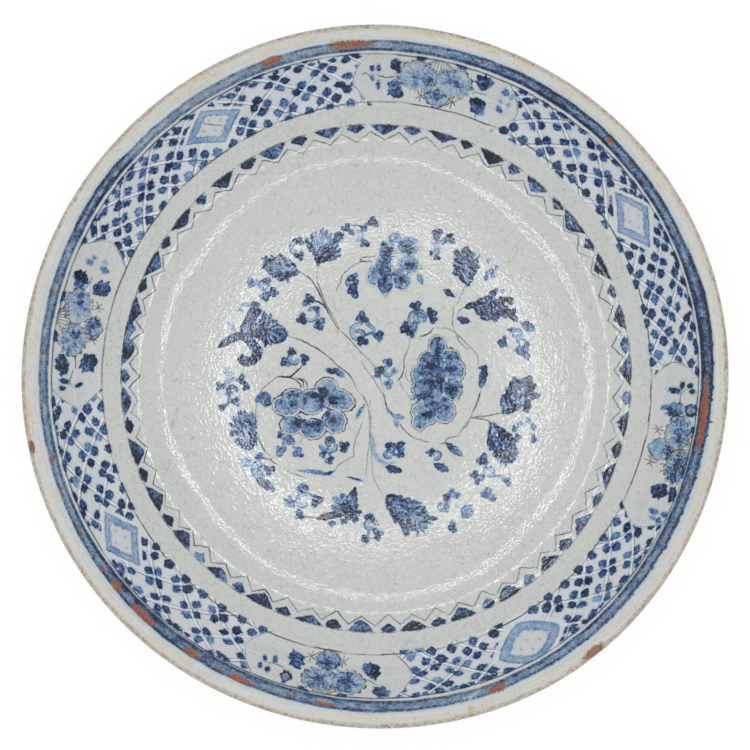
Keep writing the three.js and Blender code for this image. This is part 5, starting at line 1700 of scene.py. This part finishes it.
class DISH_OT_stage(bpy.types.Operator):
    """Sets the white floor, the world, the ring of lamps round the lens and the camera"""

    bl_idname = "dish.stage"
    bl_label = "Stage"

    def execute(self, context):
        scene = context.scene
        shade = Shade(bpy.data.materials.new("white_floor"))
        shade.look(Base_Color=(0.8, 0.8, 0.8, 1), Roughness=1.0, Specular_IOR_Level=0.0)
        plain = shade.node("ShaderNodeBsdfDiffuse", {"Color": (0.2, 0.2, 0.2, 1)}).outputs[0]
        glow = shade.node("ShaderNodeEmission", {"Color": (1, 1, 1, 1), "Strength": 0.84}).outputs[0]
        white = shade.node("ShaderNodeAddShader", {0: plain, 1: glow}).outputs[0]
        shade.show(shade.in_sight(), white)
        mesh = bpy.data.meshes.new("stage_floor")
        mesh.from_pydata([(-4, -4, 0), (4, -4, 0), (4, 4, 0), (-4, 4, 0)], [], [(0, 1, 2, 3)])
        mesh.materials.append(shade.owner)
        stage = [bpy.data.objects.new("stage_floor", mesh)]
        scene.world = bpy.data.worlds.new("stage_world")
        sky = Shade(scene.world)
        sky.look(Color=(1, 1, 1, 1), Strength=0.95)
        sky.show(sky.in_sight(), sky.node("ShaderNodeBackground",
                                          {"Color": (1, 1, 1, 1), "Strength": 1.0}).outputs[0])
        for k in range(LAMPS):
            bearing = 360 / LAMPS * k
            turn = math.radians(bearing)
            lamp = bpy.data.lights.new(f"ring_lamp_{k}", "AREA")
            lamp.shape, lamp.size, lamp.size_y = "RECTANGLE", *LAMP_SIZE
            lamp.energy = LAMP_POWER * float(np.interp(bearing, *LAMP_SHARES))
            one = bpy.data.objects.new(lamp.name, lamp)
            one.location = RING_CENTRE + Vector((math.cos(turn), math.sin(turn), 0)) * RING_RADIUS
            one.rotation_euler = (0, 0, turn)
            one.visible_camera = False
            stage.append(one)
        lens = bpy.data.cameras.new("stage_camera")
        lens.sensor_width, lens.lens = SENSOR, FOCAL_LENGTH
        lens.clip_start, lens.clip_end = 0.05, 50
        camera = scene.camera = bpy.data.objects.new("stage_camera", lens)
        camera.location = EYE
        aim = (LOOKED_AT - EYE).normalized()
        right = aim.cross(Vector((0, 1, 0))).normalized()
        camera.rotation_euler = Matrix((right, right.cross(aim), -aim)).transposed().to_euler()
        stage.append(camera)
        for item in stage:
            scene.collection.objects.link(item)
        scene.view_settings.view_transform = "Standard"
        return {"FINISHED"}


OPERATORS = (DISH_OT_well, DISH_OT_bands, DISH_OT_border, DISH_OT_rim, DISH_OT_back, DISH_OT_body,
             DISH_OT_stage)


class DISH_PT_panel(bpy.types.Panel):
    """The dish's operators, sizes and colours"""

    bl_label = "Faience dish"
    bl_space_type = "VIEW_3D"
    bl_region_type = "UI"
    bl_category = "Dish"

    def draw(self, context):
        for operator in OPERATORS:
            self.layout.operator(operator.bl_idname)
        for group in (context.scene.dish_sizes, context.scene.dish_colours):
            for name in group.bl_rna.properties.keys():
                if name not in ("rna_type", "name"):
                    self.layout.prop(group, name)


def register():
    for group in (DishSizes, DishColours, *OPERATORS, DISH_PT_panel):
        bpy.utils.register_class(group)
    bpy.types.Scene.dish_sizes = bpy.props.PointerProperty(type=DishSizes)
    bpy.types.Scene.dish_colours = bpy.props.PointerProperty(type=DishColours)


def unregister():
    del bpy.types.Scene.dish_colours
    del bpy.types.Scene.dish_sizes
    for group in (DISH_PT_panel, *reversed(OPERATORS), DishColours, DishSizes):
        bpy.utils.unregister_class(group)


def main():
    register()
    for operator in OPERATORS:
        area, name = operator.bl_idname.split(".")
        getattr(getattr(bpy.ops, area), name)()
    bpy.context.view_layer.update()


if __name__ == "__main__":
    main()
